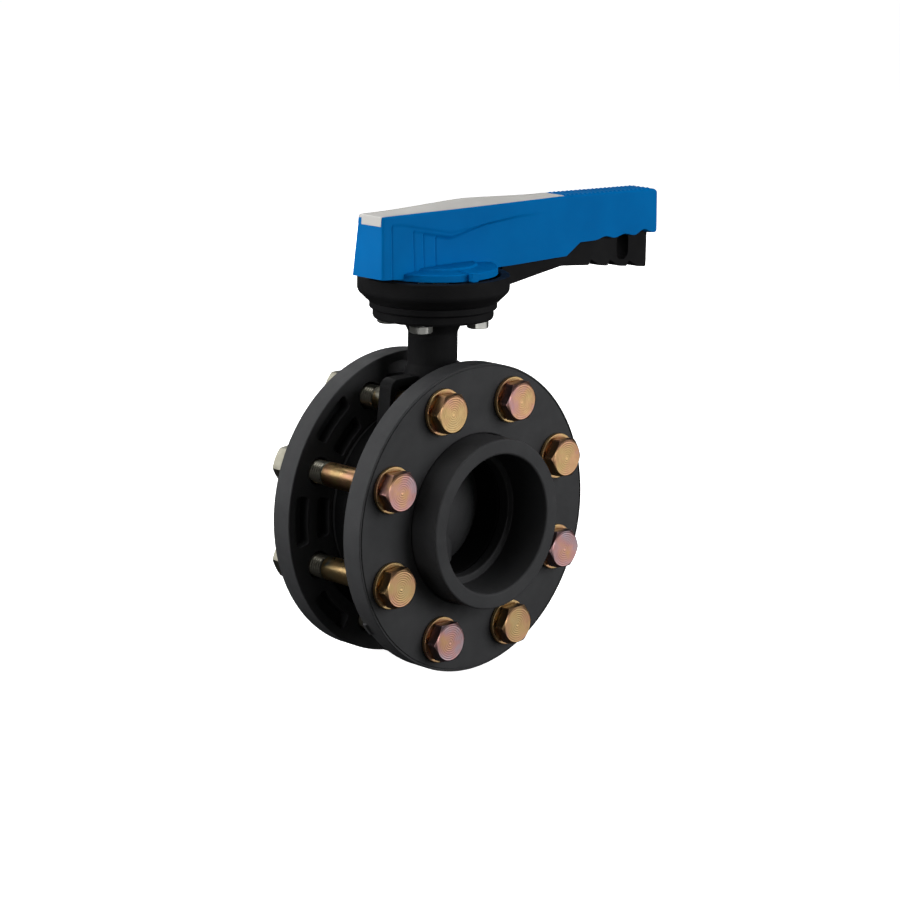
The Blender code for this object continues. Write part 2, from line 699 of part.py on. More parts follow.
def valve_stem(parent):
    stem = turned("valve_stem", stem_profile(), STEPS_SMALL, closed=False)
    half = STEM_SQUARE / 2
    root = STEM_SHOULDER - STEM_SQUARE_ROOT
    join(stem, block("stem_square", (-half, -half, root), (half, half, STEM_TOP)))
    cut(stem, rod("stem_thread", PLATE_BOLT_DIAMETER / 2 + GAP, STEM_TOP - SCREW_LENGTH,
                  STEM_TOP + SCREW_LENGTH, STEPS_SMALL))
    return as_part(smooth(stem), STAINLESS, parent)


def stem_seals(parent):
    section = seal_section()
    middle = STEM_DIAMETER / 2 - SEAL_GROOVE_DEPTH + GAP + section
    angles = [-2 * math.pi * i / STEPS_SEAL for i in range(STEPS_SEAL)]
    profile = [(middle + section * math.cos(a), section * math.sin(a)) for a in angles]
    spots = [Matrix.Translation((0, 0, height)) for height in UPPER_SEAL_HEIGHTS]
    copies("stem_o_ring", turned("o_ring", profile, STEPS_SMALL), spots, RUBBER, parent)


def stem_retainer(parent):
    """An open spring clip in the stem's groove, under the throttle plate."""
    inner = STEM_DIAMETER / 2 - RETAINER_GROOVE + GAP
    low = RETAINER_FLOOR + GAP
    clip = tube("stem_retainer", RETAINER_DIAMETER / 2, inner, low, low + RETAINER_THICKNESS, STEPS_MEDIUM)
    half = RETAINER_MOUTH / 2
    cut(clip, block("retainer_mouth", (0, -half, low - RETAINER_THICKNESS),
                    (RETAINER_DIAMETER, half, low + 2 * RETAINER_THICKNESS)))
    return as_part(smooth(clip), STAINLESS, parent)


def stem_bushes():
    upper = tube("upper_stem_bush", BUSH_OUTER, STEM_HOLE, UPPER_BUSH_FOOT, UPPER_BUSH_TOP, STEPS_MEDIUM)
    lower_top = -LINER_OUTER - GAP
    lower = tube("lower_stem_bush", BUSH_OUTER, STEM_HOLE, lower_top - LOWER_BUSH_LENGTH, lower_top,
                 STEPS_MEDIUM)
    for bush in (upper, lower):
        as_part(smooth(bush), BUSH_PLASTIC)


def bottom_plug():
    radius = BUSH_OUTER
    foot = PLUG_TOP - PLUG_LENGTH
    plug = rod("bottom_plug", radius, foot, PLUG_TOP, STEPS_MEDIUM)
    cut(plug, hex_bar("plug_key", PLUG_KEY_FLATS, foot - PLUG_KEY_DEPTH, foot + PLUG_KEY_DEPTH))
    return as_part(smooth(plug), BODY_PLASTIC)


def throttle_plate():
    """A round cup on the top flange, with latch notches over the lever's travel."""
    rim = THROTTLE_DIAMETER / 2
    foot = THROTTLE_FOOT_DIAMETER / 2
    wall = rim - THROTTLE_WALL
    hole = STEM_HOLE + GAP
    angles = [math.pi / 2 * i / STEPS_PLATE_ROUND for i in range(STEPS_PLATE_ROUND, -1, -1)]
    corner = [(foot + (rim - foot) * math.sin(a), THROTTLE_FOOT + THROTTLE_ROUND * (1 - math.cos(a)))
              for a in angles]
    profile = [(wall, THROTTLE_TOP), (rim, THROTTLE_TOP), *corner, (hole, THROTTLE_FOOT),
               (hole, THROTTLE_BED), (wall, THROTTLE_BED)]
    plate = turned("throttle_plate", profile, STEPS_LARGE)
    bm = bmesh.new()
    half_notch = NOTCH_WIDTH / 2
    count = round(LEVER_TRAVEL / NOTCH_PITCH) + 1
    for i in range(count):
        size = Matrix.Diagonal((2 * NOTCH_DEPTH, 2 * half_notch, 2 * THROTTLE_HEIGHT, 1))
        spot = Matrix.Translation((NOTCH_ROOT + NOTCH_DEPTH, 0, (THROTTLE_FOOT + THROTTLE_TOP) / 2))
        bmesh.ops.create_cube(bm, size=1, matrix=Matrix.Rotation(NOTCH_PITCH * i, 4, "Z") @ spot @ size)
    notches = object_from_bmesh("notches", bm)
    holes = rods("throttle_holes", PLATE_BOLT_DIAMETER / 2, THROTTLE_FOOT - THROTTLE_FLOOR,
                 THROTTLE_BED + THROTTLE_FLOOR, PLATE_BOLT_PLACES, STEPS_BOLT)
    cut(plate, notches, holes)
    return as_part(smooth(plate), BODY_PLASTIC)


def throttle_bolts():
    """Bolts from below the top flange, screwed into the throttle plate's floor."""
    bolt = bolt_shape("plate_bolt", PLATE_BOLT_DIAMETER, PLATE_BOLT_FLATS, PLATE_BOLT_HEAD,
                      PLATE_HEAD_TOP, THROTTLE_BED, TOP_FLANGE_Z)
    spots = [Matrix.Translation((x, y, 0)) for x, y in PLATE_BOLT_PLACES]
    copies("throttle_bolt", bolt, spots, STAINLESS)


def scallops(end, low):
    """Points of the finger grooves under the lever's grip, as far as the given end."""
    count = round((end - SCALLOP_START) / SCALLOP_PITCH * STEPS_SCALLOP)
    points = []
    for i in range(count + 1):
        x = SCALLOP_START + (end - SCALLOP_START) * i / count
        wave = math.sin(math.pi * (x - SCALLOP_START) / SCALLOP_PITCH) ** 2
        points.append((x, low + SCALLOP_DEPTH * wave))
    return points


def half_width(x):
    """The lever's half width, which narrows from the head to the grip."""
    share = min(1.0, (x + LEVER_BACK) / (GRIP_START + LEVER_BACK))
    return (HEAD_WIDTH + (GRIP_WIDTH - HEAD_WIDTH) * share) / 2


def lever_outline():
    """Side view of the lever, from the head's foot along the underside and back along the top."""
    grip_low = LEVER_BASE + GRIP_RAISE
    underside = [(-LEVER_BACK, LEVER_BASE), (GRIP_START, LEVER_BASE)]
    fingers = [(GRIP_START + GRIP_RAMP, grip_low)] + scallops(LEVER_REACH - LEVER_WALL, grip_low)
    top = [(LEVER_REACH, grip_low), (LEVER_REACH, LEVER_TOP - GRIP_TOP_FALL), (GRIP_START, LEVER_TOP),
           (-LEVER_BACK, LEVER_TOP)]
    return underside + fingers + top


def lever_shell():
    """The lever's outer form: a tapered bar with rounded edges."""
    shell = prism("lever_body", lever_outline(), -1, 1)
    bm = bmesh.new()
    bm.from_mesh(shell.data)
    bmesh.ops.bisect_plane(bm, geom=[*bm.verts, *bm.edges, *bm.faces], plane_co=(GRIP_START, 0, 0),
                           plane_no=(1, 0, 0), dist=MERGE)
    for vert in bm.verts:
        vert.co.y = math.copysign(half_width(vert.co.x), vert.co.y)
    bm.to_mesh(shell.data)
    bm.free()
    bevel = shell.modifiers.new("edges", "BEVEL")
    bevel.width = LEVER_EDGE
    bevel.segments = 2
    bevel.limit_method = "ANGLE"
    bevel.angle_limit = BEVEL_ANGLE
    return shell


def panel_cutters():
    """Nested shallow steps in both sides of the head, each deeper than the last."""
    tools = []
    for i, left in enumerate(PANEL_LEFT):
        depth = HEAD_WIDTH / 2 - PANEL_STEP * (i + 1)
        foot = LEVER_BASE + (PANEL_LEDGE * i if i else -LEVER_HEIGHT)
        share = (left - PANEL_LEFT[0]) / (PANEL_LEFT[-1] - PANEL_LEFT[0])
        shoulder = LEVER_BASE + PANEL_TOP_LEFT + (PANEL_TOP_LOW - PANEL_TOP_LEFT) * share
        outline = [(left, foot), (GRIP_START, foot), (GRIP_START, LEVER_BASE + PANEL_TOP_RIGHT),
                   (PANEL_LOW_X, LEVER_BASE + PANEL_TOP_LOW), (left, shoulder)]
        tools.append(prism(f"panel_near_{i}", outline, -HEAD_WIDTH, -depth))
        tools.append(prism(f"panel_far_{i}", outline, depth, HEAD_WIDTH))
    return tools


def lever_cavities():
    """The hollow behind the stem socket, and the long one that holds the trigger."""
    half = TRIGGER_WIDTH / 2 + SLIDE_CLEARANCE
    boss = SOCKET_BOSS_LENGTH / 2
    below = LEVER_BASE - LEVER_HEIGHT
    roof = LEVER_TOP - LEVER_ROOF
    back = block("back_cavity", (-LEVER_BACK + LEVER_WALL, -half, below), (-boss, half, roof))
    end = LEVER_REACH - LEVER_WALL
    outline = [(boss, below), (end, below), (end, roof - GRIP_TOP_FALL), (GRIP_START, roof), (boss, roof)]
    return [back, prism("front_cavity", outline, -half, half)]


def crown(x):
    """How far the inlay's middle rises above its edges."""
    share = min(1.0, abs(x - CROWN_X) / CROWN_REACH)
    return CROWN_RISE * math.cos(math.pi / 2 * share) ** 2


def inlay_outline(grow):
    """Side view of the inlay, which turns down over the head's end; grow widens it for its seat."""
    top = LEVER_TOP + GAP
    floor = LEVER_TOP - INLAY_THICKNESS - grow
    face = -LEVER_BACK - GAP
    back = -LEVER_BACK + INLAY_THICKNESS + grow
    apron = LEVER_TOP - INLAY_APRON - grow
    end = GRIP_START + grow
    return [(face - grow, top + grow), (face - grow, apron), (back, apron), (back, floor), (end, floor),
            (end, top + grow)]


def inlay_shape(name, grow):
    """The inlay plate, with the same taper as the lever and a border left beside it."""
    plate = prism(name, inlay_outline(grow), -1, 1)
    for vert in plate.data.vertices:
        vert.co.y = math.copysign(half_width(vert.co.x) - INLAY_BORDER + grow, vert.co.y)
    return plate


def crowned_inlay():
    """The inlay with its top raised along the middle."""
    inlay = inlay_shape("lever_inlay", 0)
    bm = bmesh.new()
    bm.from_mesh(inlay.data)
    length = GRIP_START + LEVER_BACK
    planes = [((length * i / STEPS_CROWN - LEVER_BACK, 0, 0), (1, 0, 0)) for i in range(1, STEPS_CROWN)]
    planes += [((0, HEAD_WIDTH * share, 0), (0, 1, 0)) for share in CROWN_SPLITS]
    for place, normal in planes:
        bmesh.ops.bisect_plane(bm, geom=[*bm.verts, *bm.edges, *bm.faces], plane_co=place,
                               plane_no=normal, dist=MERGE)
    for vert in bm.verts:
        if vert.co.z > LEVER_TOP:
            across = vert.co.y / (half_width(vert.co.x) - INLAY_BORDER)
            vert.co.z += crown(vert.co.x) * (1 - across ** 2)
    bmesh.ops.triangulate(bm, faces=bm.faces)
    bm.to_mesh(inlay.data)
    bm.free()
    return inlay


def lever_body(parent):
    lever = lever_shell()
    cut(lever, *panel_cutters())
    skirt = rod("lever_skirt", SKIRT_DIAMETER / 2, LEVER_BASE, LEVER_BASE + SKIRT_HEIGHT, STEPS_LARGE)
    half = STEM_SQUARE / 2 + GAP
    square = block("stem_socket", (-half, -half, LEVER_BASE - LEVER_HEIGHT), (half, half, SOCKET_ROOF))
    above = LEVER_TOP + LEVER_HEIGHT
    screw_hole = rod("screw_hole", PLATE_BOLT_DIAMETER / 2 + GAP, LEVER_BASE, above, STEPS_SMALL)
    counterbore = rod("counterbore", SCREW_WASHER_DIAMETER / 2 + SLIDE_CLEARANCE, SCREW_SEAT, above,
                      STEPS_SMALL)
    pin_seat = TRIGGER_WIDTH / 2 + SLIDE_CLEARANCE + PIN_SEAT + GAP
    pin_hole = rods("pin_seat", PIN_DIAMETER / 2 + GAP, -pin_seat, pin_seat, [(0, 0)], STEPS_SMALL)
    pin_hole.data.transform(Matrix.Translation((PIVOT_X, 0, PIVOT_Z)) @ TO_REAR)
    join(lever, skirt)
    cut(lever, *lever_cavities(), square, screw_hole, counterbore, pin_hole, inlay_shape("inlay_seat", GAP))
    return as_part(smooth(lever), LEVER_PLASTIC, parent)


def lever_fittings(parent):
    """What rides on the lever: the inlay, the screw into the stem and the trigger's pin."""
    as_part(smooth(crowned_inlay()), INLAY_PLASTIC, parent)
    low = SCREW_SEAT + GAP
    washer = tube("lever_screw_washer", SCREW_WASHER_DIAMETER / 2, PLATE_BOLT_DIAMETER / 2 + GAP, low,
                  low + SCREW_WASHER_THICKNESS, STEPS_SMALL)
    as_part(smooth(washer), STAINLESS, parent)
    seat = low + SCREW_WASHER_THICKNESS + GAP
    screw = bolt_shape("screw", PLATE_BOLT_DIAMETER, PLATE_BOLT_FLATS, PLATE_BOLT_HEAD, 0, SCREW_LENGTH,
                       SCREW_PLAIN)
    upside_down = Matrix.Translation((0, 0, seat)) @ Matrix.Rotation(math.pi, 4, "X")
    as_part(laid("lever_screw", screw, upside_down), STAINLESS, parent)
    half = TRIGGER_WIDTH / 2 + SLIDE_CLEARANCE + PIN_SEAT
    pin = rods("trigger_pin", PIN_DIAMETER / 2, -half, half, [(0, 0)], STEPS_SMALL)
    pin.data.transform(Matrix.Translation((PIVOT_X, 0, PIVOT_Z)) @ TO_REAR)
    as_part(smooth(pin), STAINLESS, parent)


def trigger_outline():
    """Side view of the trigger, from the tooth along its lower edge and back along the top."""
    grip = FINGER_FIRST - FINGER_STEEP
    top = LEVER_BASE + TRIGGER_TOP
    knee_z = LEVER_BASE - TRIGGER_KNEE_DROP
    grip_z = LEVER_BASE - TRIGGER_GRIP_DROP
    end_z = LEVER_BASE - TRIGGER_END_DROP
    fall = (end_z - grip_z) / (TRIGGER_END - grip)
    outline = [(TRIGGER_FRONT, end_z), (GRIP_START, knee_z)]
    for i in range(FINGER_COUNT):
        middle = FINGER_FIRST + FINGER_PITCH * i
        for x, rise in ((middle - FINGER_STEEP, 0), (middle, FINGER_DEPTH), (middle + FINGER_GENTLE, 0)):
            outline.append((x, grip_z + fall * (x - grip) + rise))
    return outline + [(TRIGGER_END, end_z), (TRIGGER_END, top), (TRIGGER_FRONT, top)]


def trigger_body(parent):
    half = TRIGGER_WIDTH / 2
    top = LEVER_BASE + TRIGGER_TOP
    trigger = prism("trigger", trigger_outline(), -half, half)
    tooth_low = LEVER_BASE - TRIGGER_END_DROP
    tooth = block("tooth", (NOTCH_ROOT + GAP, -TOOTH_WIDTH / 2, tooth_low),
                  (TRIGGER_FRONT + TRIGGER_WALL, TOOTH_WIDTH / 2, tooth_low + TOOTH_HEIGHT))
    boss = rods("trigger_boss", TRIGGER_BOSS_DIAMETER / 2, -half, half, [(0, 0)], STEPS_SMALL)
    eye = rods("trigger_eye", PIN_DIAMETER / 2 + GAP, -TRIGGER_WIDTH, TRIGGER_WIDTH, [(0, 0)], STEPS_SMALL)
    for round_shape in (boss, eye):
        round_shape.data.transform(Matrix.Translation((PIVOT_X, 0, PIVOT_Z)) @ TO_REAR)
    inner = half - TRIGGER_WALL
    floor = LEVER_BASE - TRIGGER_KNEE_DROP + TRIGGER_WALL
    spring_seat = SPRING_SEAT / 2
    hollows = [block("trigger_hollow_front", (PIVOT_X + TRIGGER_BOSS_DIAMETER, -inner, floor),
                     (SPRING_X - spring_seat, inner, top + TRIGGER_TOP)),
               block("trigger_hollow_rear", (SPRING_X + spring_seat, -inner, floor),
                     (TRIGGER_END - TRIGGER_WALL, inner, top + TRIGGER_TOP))]
    hole_low = LEVER_BASE - LOCK_HOLE_FLOOR
    hole_high = hole_low + LOCK_HOLE_HEIGHT
    left = LOCK_HOLE_X - LOCK_HOLE_WIDTH / 2
    right = LOCK_HOLE_X + LOCK_HOLE_WIDTH / 2
    corners = [(left, hole_low), (right, hole_low), (right, hole_high), (left, hole_high)]
    hole_outline = rounded(corners, LOCK_HOLE_WIDTH / 2 - GAP)
    lock_hole = prism("lock_hole", hole_outline, -TRIGGER_WIDTH, TRIGGER_WIDTH)
    join(trigger, tooth, boss)
    cut(trigger, *hollows, eye, lock_hole)
    smooth(trigger)
    trigger.data.transform(Matrix.Translation((-PIVOT_X, 0, -PIVOT_Z)))
    return as_part(trigger, BODY_PLASTIC, parent)


def trigger_spring(parent):
    """A coil between the trigger and the lever's roof."""
    share = (SPRING_X - GRIP_START) / (LEVER_REACH - GRIP_START)
    roof = LEVER_TOP - LEVER_ROOF - GRIP_TOP_FALL * share
    half_wire = SPRING_WIRE / 2
    low = LEVER_BASE + TRIGGER_TOP + GAP + half_wire
    tilt_room = GRIP_TOP_FALL * SPRING_DIAMETER / (LEVER_REACH - GRIP_START)
    high = roof - GAP - half_wire - tilt_room
    coil = SPRING_DIAMETER / 2 - half_wire
    count = SPRING_TURNS * STEPS_SPRING
    curve = bpy.data.curves.new("trigger_spring", "CURVE")
    curve.dimensions = "3D"
    curve.bevel_depth = half_wire
    curve.bevel_resolution = 1
    curve.use_fill_caps = True
    spline = curve.splines.new("POLY")
    spline.points.add(count)
    for i, point in enumerate(spline.points):
        angle = 2 * math.pi * i / STEPS_SPRING
        height = low + (high - low) * i / count
        point.co = (SPRING_X + coil * math.cos(angle), coil * math.sin(angle), height, 1)
    return as_part(add_object("trigger_spring", curve), STAINLESS, parent)


def axis_empty(name, place):
    empty = bpy.data.objects.new(name, None)
    empty.location = place
    PARTS.objects.link(empty)
    return empty


def main():
    backing_ring("front_backing_ring", TO_FRONT)
    backing_ring("rear_backing_ring", TO_REAR)
    stub_end("front_stub_end", TO_FRONT)
    stub_end("rear_stub_end", TO_REAR)
    flange_fasteners()
    valve_body()
    seat_liner()
    stem_bushes()
    bottom_plug()
    throttle_plate()
    throttle_bolts()

    lever_axis = axis_empty("lever_axis", (0, 0, 0))
    valve_disc(lever_axis)
    valve_stem(lever_axis)
    stem_seals(lever_axis)
    stem_retainer(lever_axis)
    lever_body(lever_axis)
    lever_fittings(lever_axis)

    trigger_axis = axis_empty("trigger_axis", (PIVOT_X, 0, PIVOT_Z))
    trigger_axis.parent = lever_axis
    trigger_body(trigger_axis)
    trigger_spring(lever_axis)


main()
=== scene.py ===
"""Looks of the butterfly valve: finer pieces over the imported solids, materials, light and camera.

The pipe runs along Y, the stem along Z and the lever along +X. Pieces are drawn in millimetres and
become metres when a mesh is made. Materials, lights and the floor are in metres. Sizes and places
repeat those of the solids.
"""
import math

import bmesh
import bpy
from mathutils import Matrix, Vector

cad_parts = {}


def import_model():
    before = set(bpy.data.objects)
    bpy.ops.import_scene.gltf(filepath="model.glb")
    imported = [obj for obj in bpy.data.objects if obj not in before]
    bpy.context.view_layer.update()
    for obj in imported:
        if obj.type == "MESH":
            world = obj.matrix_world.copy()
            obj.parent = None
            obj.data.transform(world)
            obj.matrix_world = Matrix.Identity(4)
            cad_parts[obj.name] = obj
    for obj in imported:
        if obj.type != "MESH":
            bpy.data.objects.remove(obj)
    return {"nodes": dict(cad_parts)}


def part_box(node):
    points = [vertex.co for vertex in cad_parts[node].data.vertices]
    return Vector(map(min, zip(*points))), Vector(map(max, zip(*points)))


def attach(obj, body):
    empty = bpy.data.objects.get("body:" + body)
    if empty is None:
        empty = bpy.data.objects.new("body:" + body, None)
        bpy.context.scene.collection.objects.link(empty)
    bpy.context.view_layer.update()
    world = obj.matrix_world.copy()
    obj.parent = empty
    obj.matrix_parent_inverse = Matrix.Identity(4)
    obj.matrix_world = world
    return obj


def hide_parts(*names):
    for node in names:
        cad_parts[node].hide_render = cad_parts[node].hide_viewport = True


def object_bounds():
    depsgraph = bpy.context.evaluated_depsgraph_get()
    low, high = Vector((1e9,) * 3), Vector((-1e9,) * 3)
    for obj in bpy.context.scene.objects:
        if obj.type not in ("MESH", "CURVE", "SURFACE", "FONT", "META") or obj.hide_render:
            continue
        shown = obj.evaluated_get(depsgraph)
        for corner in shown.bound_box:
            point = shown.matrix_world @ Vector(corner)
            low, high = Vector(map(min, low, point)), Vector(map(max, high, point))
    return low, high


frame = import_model()
CAD_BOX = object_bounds()

MM = 0.001
MERGE = 0.004 * MM
GAP = 0.3
TO_REAR = Matrix.Rotation(-math.pi / 2, 4, "X")
TO_FRONT = Matrix.Rotation(math.pi / 2, 4, "X")

# Steps round a full turn
STEPS_PLATE = 160
STEPS_LARGE = 144
STEPS_NECK = 72
STEPS_MEDIUM = 64
STEPS_HEX = 48
STEPS_BORE = 48
STEPS_HOLE = 40
STEPS_BOSS = 32
STEPS_SMALL = 24

# Angles past which an edge is shaded sharp, and past which it is rounded
SHARP = math.radians(38)
SHARP_FASTENER = math.radians(9)
SHARP_PLATE_BOLT = math.radians(28)
SHARP_LEVER = math.radians(50)
SHARP_GRIP = math.radians(8)
ROUNDED = math.radians(40)
ROUNDED_AFTER_CUTS = math.radians(50)

# Camera, worked out from the ring ellipses, the bolts and the lever in the photo
CAMERA_AZIMUTH = math.radians(-44.72)
CAMERA_ELEVATION = math.radians(12.63)
CAMERA_ROLL = math.radians(0.84)
CAMERA_DISTANCE = 1800
CAMERA_OFFSET = (-12.65, -37.15)
CAMERA_LENS = 110.98
CAMERA_SENSOR = 36

# Backing rings
RING_OUTER = 40.3
RING_INNER = 25.3
RING_RADIUS = 100
RING_HOLE = 55.3
RING_GROOVE = (98.0, 98.9)
RING_GROOVE_DEPTH = 0.6
RING_EDGE = 0.5
RECESS_RADIUS = 62.8
RECESS_FLOOR = 32.6
SLOT_RADII = (89, 71)
SLOT_HALF_WIDTH = 5
SLOT_DEPTH = 8
SLOT_HALF_ANGLE = math.radians(10.4)
SLOT_CORNER = 2.2
SLOT_SPLITS = 10
TAB_PROFILE = [(98, 25.5), (101.4, 25.8), (101.4, 28.6), (98, 30.4)]
TAB_HALF_LENGTH = 4.5
TAB_ANGLE = math.radians(217)

# Stub ends
HUB_END = 61.3
HUB_RADIUS = 55
SOCKET_MOUTH = 45
SOCKET_FOOT = 44.7
SOCKET_STOP = 31.3
COLLAR_RADIUS = 62.5
COLLAR_FACE = 23.3
COLLAR_BACK = 32.3
PIPE_BORE = 40

# Bolts, nuts and washers
BOLT_COUNT = 8
BOLT_CIRCLE = 80
BOLT_TURN = math.radians(22.5)
BOLT_HOLE = 9
BOLT_HOLE_OVERRUN = 5
BOLT_FLATS = 24
BOLT_SEAT = 43.4
BOLT_HEAD = 8
BOLT_SHANK = 7.9
BOLT_TIP = 61.4
THREAD_START = 15.4
THREAD_PITCH = 2
THREAD_DEPTH_SHARE = 0.55
TIP_CHAMFER = 1.4
NUT_HEIGHT = 13
NUT_HOLE = 8.05
NUT_MOUTH = 0.2
WASHER_HOLE = 8.5
WASHER_RADIUS = 15
WASHER_THICKNESS = 2.5
WASHER_EDGE = 0.6
BOLT_SPINS = (3, -2, 1, -4, 0, 2, -3, 4)
WASHER_TINTS = (0.30, 0.26, 0.32, 0.28, 0.25, 0.34, 0.24, 0.30)
BOLT_TINTS = (0.46, 0.56, 0.36, 0.66, 0.38, 0.76, 0.40, 0.78)

# Hexagons: shares of the width across flats, then heights
HEX_CORNER_WEAR = 0.988
HEX_FACE_SHARE = 0.476
HEX_PAD_SHARE = 0.47
HEX_CHAMFER = math.radians(30)
HEX_PAD = 0.3
HEX_FOOT = 0.5
FACE_DISH = 0.25
MARK_COUNT = 16
MARK_DEPTH = 0.1

# Valve body
BODY_HALF = 23
BODY_RADIUS = 64
BODY_EDGE = 1.5
RIB_ANGLES = (25, -25, 155, -155)
RIB_PROFILE = [(55, -3), (68, -2), (68, 2), (55, 3)]
RIB_HALF_LENGTH = 17
RIB_EDGE = 0.6
LUG_TOP = 90
LUG_ROOT = 48
LUG_TOP_HALF = 41
LUG_ROOT_HALF = 45
LUG_CORNER = 7
LUG_HALF_THICKNESS = 5.5
LUG_EDGE = 0.8
LUG_RIM = 5
LUG_POCKET_CORNER = 4
LUG_HALF_WEB = 2
LUG_HOLE_X = 30.6
LUG_HOLE_Z = 73.9
CUT_REACH = 20
LINER_MOUTH = 25
STEM_HOLE = 10.4
STEM_CUT = (-95, 140)
BUSH_SEAT = 13.3
UPPER_BUSH_LOW = 104.7
UPPER_BUSH_TOP = 133.3
LOWER_BUSH_TOP = -50
RETAINER_SEAT = 14.8

# Neck, from the middle of its stepped top flange down to the boss below the pipe: each corner's
# radius and height, and how far it is rounded
NECK_CORNERS = [(0, 136.5), (41, 136.5), (41, 132.2), (38.8, 131.2), (38.8, 127.0), (38.2, 125.5),
                (22.0, 125.5), (19.0, 122.5), (16, 116.5), (16, 96), (18.5, 89), (18.5, -84), (16, -92),
                (0, -92)]
NECK_ROUNDING = [0, 0.8, 0.8, 0.6, 0.5, 0.5, 1.5, 3, 4, 3, 0, 0, 2, 0]

# Liner, disc and plug
LINER_BACK = 50
LINER_LIP_RADIUS = 56
LINER_LIP_INNER = 20
LINER_BULGE = 39.65
LINER_BULGE_FLAT = 4
LINER_BULGE_END = 9
LINER_CUT = 70
DISC_RADIUS = 39.6
DISC_RIM = 3
DISC_DOME = 14
DISC_SPLITS = 12
DISC_BOSS_RADIUS = 14
DISC_BOSS_HALF = 37
DISC_BOSS_EDGE = 3
DISC_STEM_HOLE = 10.3
DISC_CUT = 60
PLUG_RADIUS = 13
PLUG_TOP = -66.3
PLUG_FOOT = -80.3
PLUG_EDGE = 0.3
KEY_FLATS = 12
KEY_TOP = -73.3
KEY_LOW = -90

# Throttle plate and its bolts
PLATE_RADIUS = 48.8
PLATE_CUP = 42.8
PLATE_FOOT_RADIUS = 42.2
PLATE_TOP = 153.5
PLATE_SHOULDER = 143.2
PLATE_FOOT = 136.8
PLATE_FLOOR = 145.8
PLATE_HOLE = 10.7
PLATE_EDGE = 0.3
NOTCH_COUNT = 13
NOTCH_PITCH = math.radians(7.5)
NOTCH_PROFILE = [(45.8, 130), (52, 130), (52, 160), (45.8, 160)]
NOTCH_HALF = 1.7
PLATE_BOLT_COUNT = 4
PLATE_BOLT_RADIUS = 29.5
PLATE_BOLT_TURN = math.radians(31)
PLATE_BOLT_FLATS = 13
PLATE_BOLT_HEAD = 5.3
PLATE_BOLT_SEAT = 125.2
PLATE_BOLT_SHANK = 3.0
PLATE_BOLT_THREAD = 137
PLATE_BOLT_PITCH = 1.25
PLATE_BOLT_SPIN = 0.2
PLATE_BOLT_HOLE = 4.0
PLATE_CUT = (130, 150)
FLANGE_BOLT_HOLE = 3.2
FLANGE_CUT = (120, 140)

# Lever: outer form
BASE = 154.0
TOP = 195.0
HEAD_X = -58.0
END_X = 201.5
GRIP_X = 110.0
HEAD_HALF = 14.5
GRIP_HALF = 12.3
HEAD_DRAFT = 3.0
GRIP_DRAFT = 1.0
DRAFT_END_X = 40
HEAD_SLANT = 2.6
SLANT_LENGTH = 20
HEAD_LIFT = 2.4
HEAD_LIFT_X = -22
GRIP_FALL = 2.2
TOP_EDGE = 1.1
END_ROUND = 1.8
HEAD_TOP_ROUND = 1.0
END_TOP_ROUND = 4.0
END_LOW_ROUND = 2.5
UNDER_RISE = 1.2
UNDER_RISE_X = (45, 110)
GRIP_RAMP_X = 110.5
GRIP_RAMP = 13.5
GRIP_LOW = 163.2
SCALLOP_X = 139
SCALLOP_PITCH = 19.5
SCALLOP_DEPTHS = (1.8, 3.2)
SCALLOP_DEEPER_X = (176, 184)

# Lever: fold and panels in its sides
CREASE_START_X = -40
CREASE_LOW_X = 4
CREASE_HEAD = 189.0
CREASE_LOW = 180.4
CREASE_SLOPE = 0.085
CREASE_HIGH = 185.6
PANEL_LEFT = (-49, -29, -20, -9)
PANEL_STEP = 0.6
PANEL_DROP = (0, 2.8, 3.4, 4.2)
PANEL_DROP_END_X = 40
PANEL_FADE_X = (20, 98)
PANEL_FOLD = 1.1
PANEL_EDGE = 0.5
GROOVE_DEPTH = 0.8

# Lever: stations along it and points round it
STATION = 2.4
PANEL_STATIONS = (-1.0, -0.5, 0, 0.5, 1.0)
HEAD_STATIONS = (0, 0.15, 0.5, 1.0, 1.6)
END_STATIONS = (0, 0.2, 0.7, 1.4, 2.4, 3.6)
FOLD_REACH = 6.0
FOLD_STEP = 0.6
FOLD_POINTS = 13
LOW_POINTS = 9
HIGH_POINTS = 5
CORNER_POINTS = 4
TOP_POINTS = 12
END_POINTS = 14

# Lever: hollow, skirt and pointer
CAVITY_HALF = 9.1
CAVITY_WALL = 3.2
CAVITY_ROOF = 4
CAVITY_FALL = 3
STEM_BLOCK_HALF = 18
STEM_BLOCK_DEPTH = 0.8
SKIRT_RADIUS = 41.0
SKIRT_SUNK = 0.25
SKIRT_RIM_TOP = 158.5
SKIRT_TIER_FOOT = (28.0, 159.2)
SKIRT_TIER_TOP = (26.6, 160.5)
POINTER_HALF = 2.4
POINTER_TOP = 159.6
POINTER_START = 31.0
POINTER_END = 45.0
POINTER_CORNER = 0.6
POINTER_EDGE = 0.4
POINTER_ANGLE = math.radians(-188.5)

# Inlay and grip pattern
INLAY_BORDER = 1.4
INLAY_PROUD = 0.35
INLAY_THICKNESS = 1.8
INLAY_OVERHANG = 0.3
INLAY_HEAD_ROUND = 0.9
INLAY_EDGE_ROUND = 0.5
INLAY_HEAD_STATIONS = (0, 0.1, 0.4, 0.9)
INLAY_STATIONS_X = (1.8, -0.6)
INLAY_STATIONS = 60
INLAY_END_STATIONS = (-0.2, 0)
INLAY_COLUMNS = 24
CROWN_RISE = 4.2
CROWN_X = 27
CROWN_REACH = 85
CROWN_BLUNT = 0.1
CROWN_POWER = 2.6
APRON_DROP = 6.0
APRON_TOP_DROP = 0.4
APRON_THICKNESS = 1.4
APRON_INSET = 2.4
APRON_EDGE = 0.3
CHECK_PITCH = 2.1
CHECK_HALF = 10.2
CHECK_LENGTH = 88
CHECK_START = 0.8
CHECK_END = 3
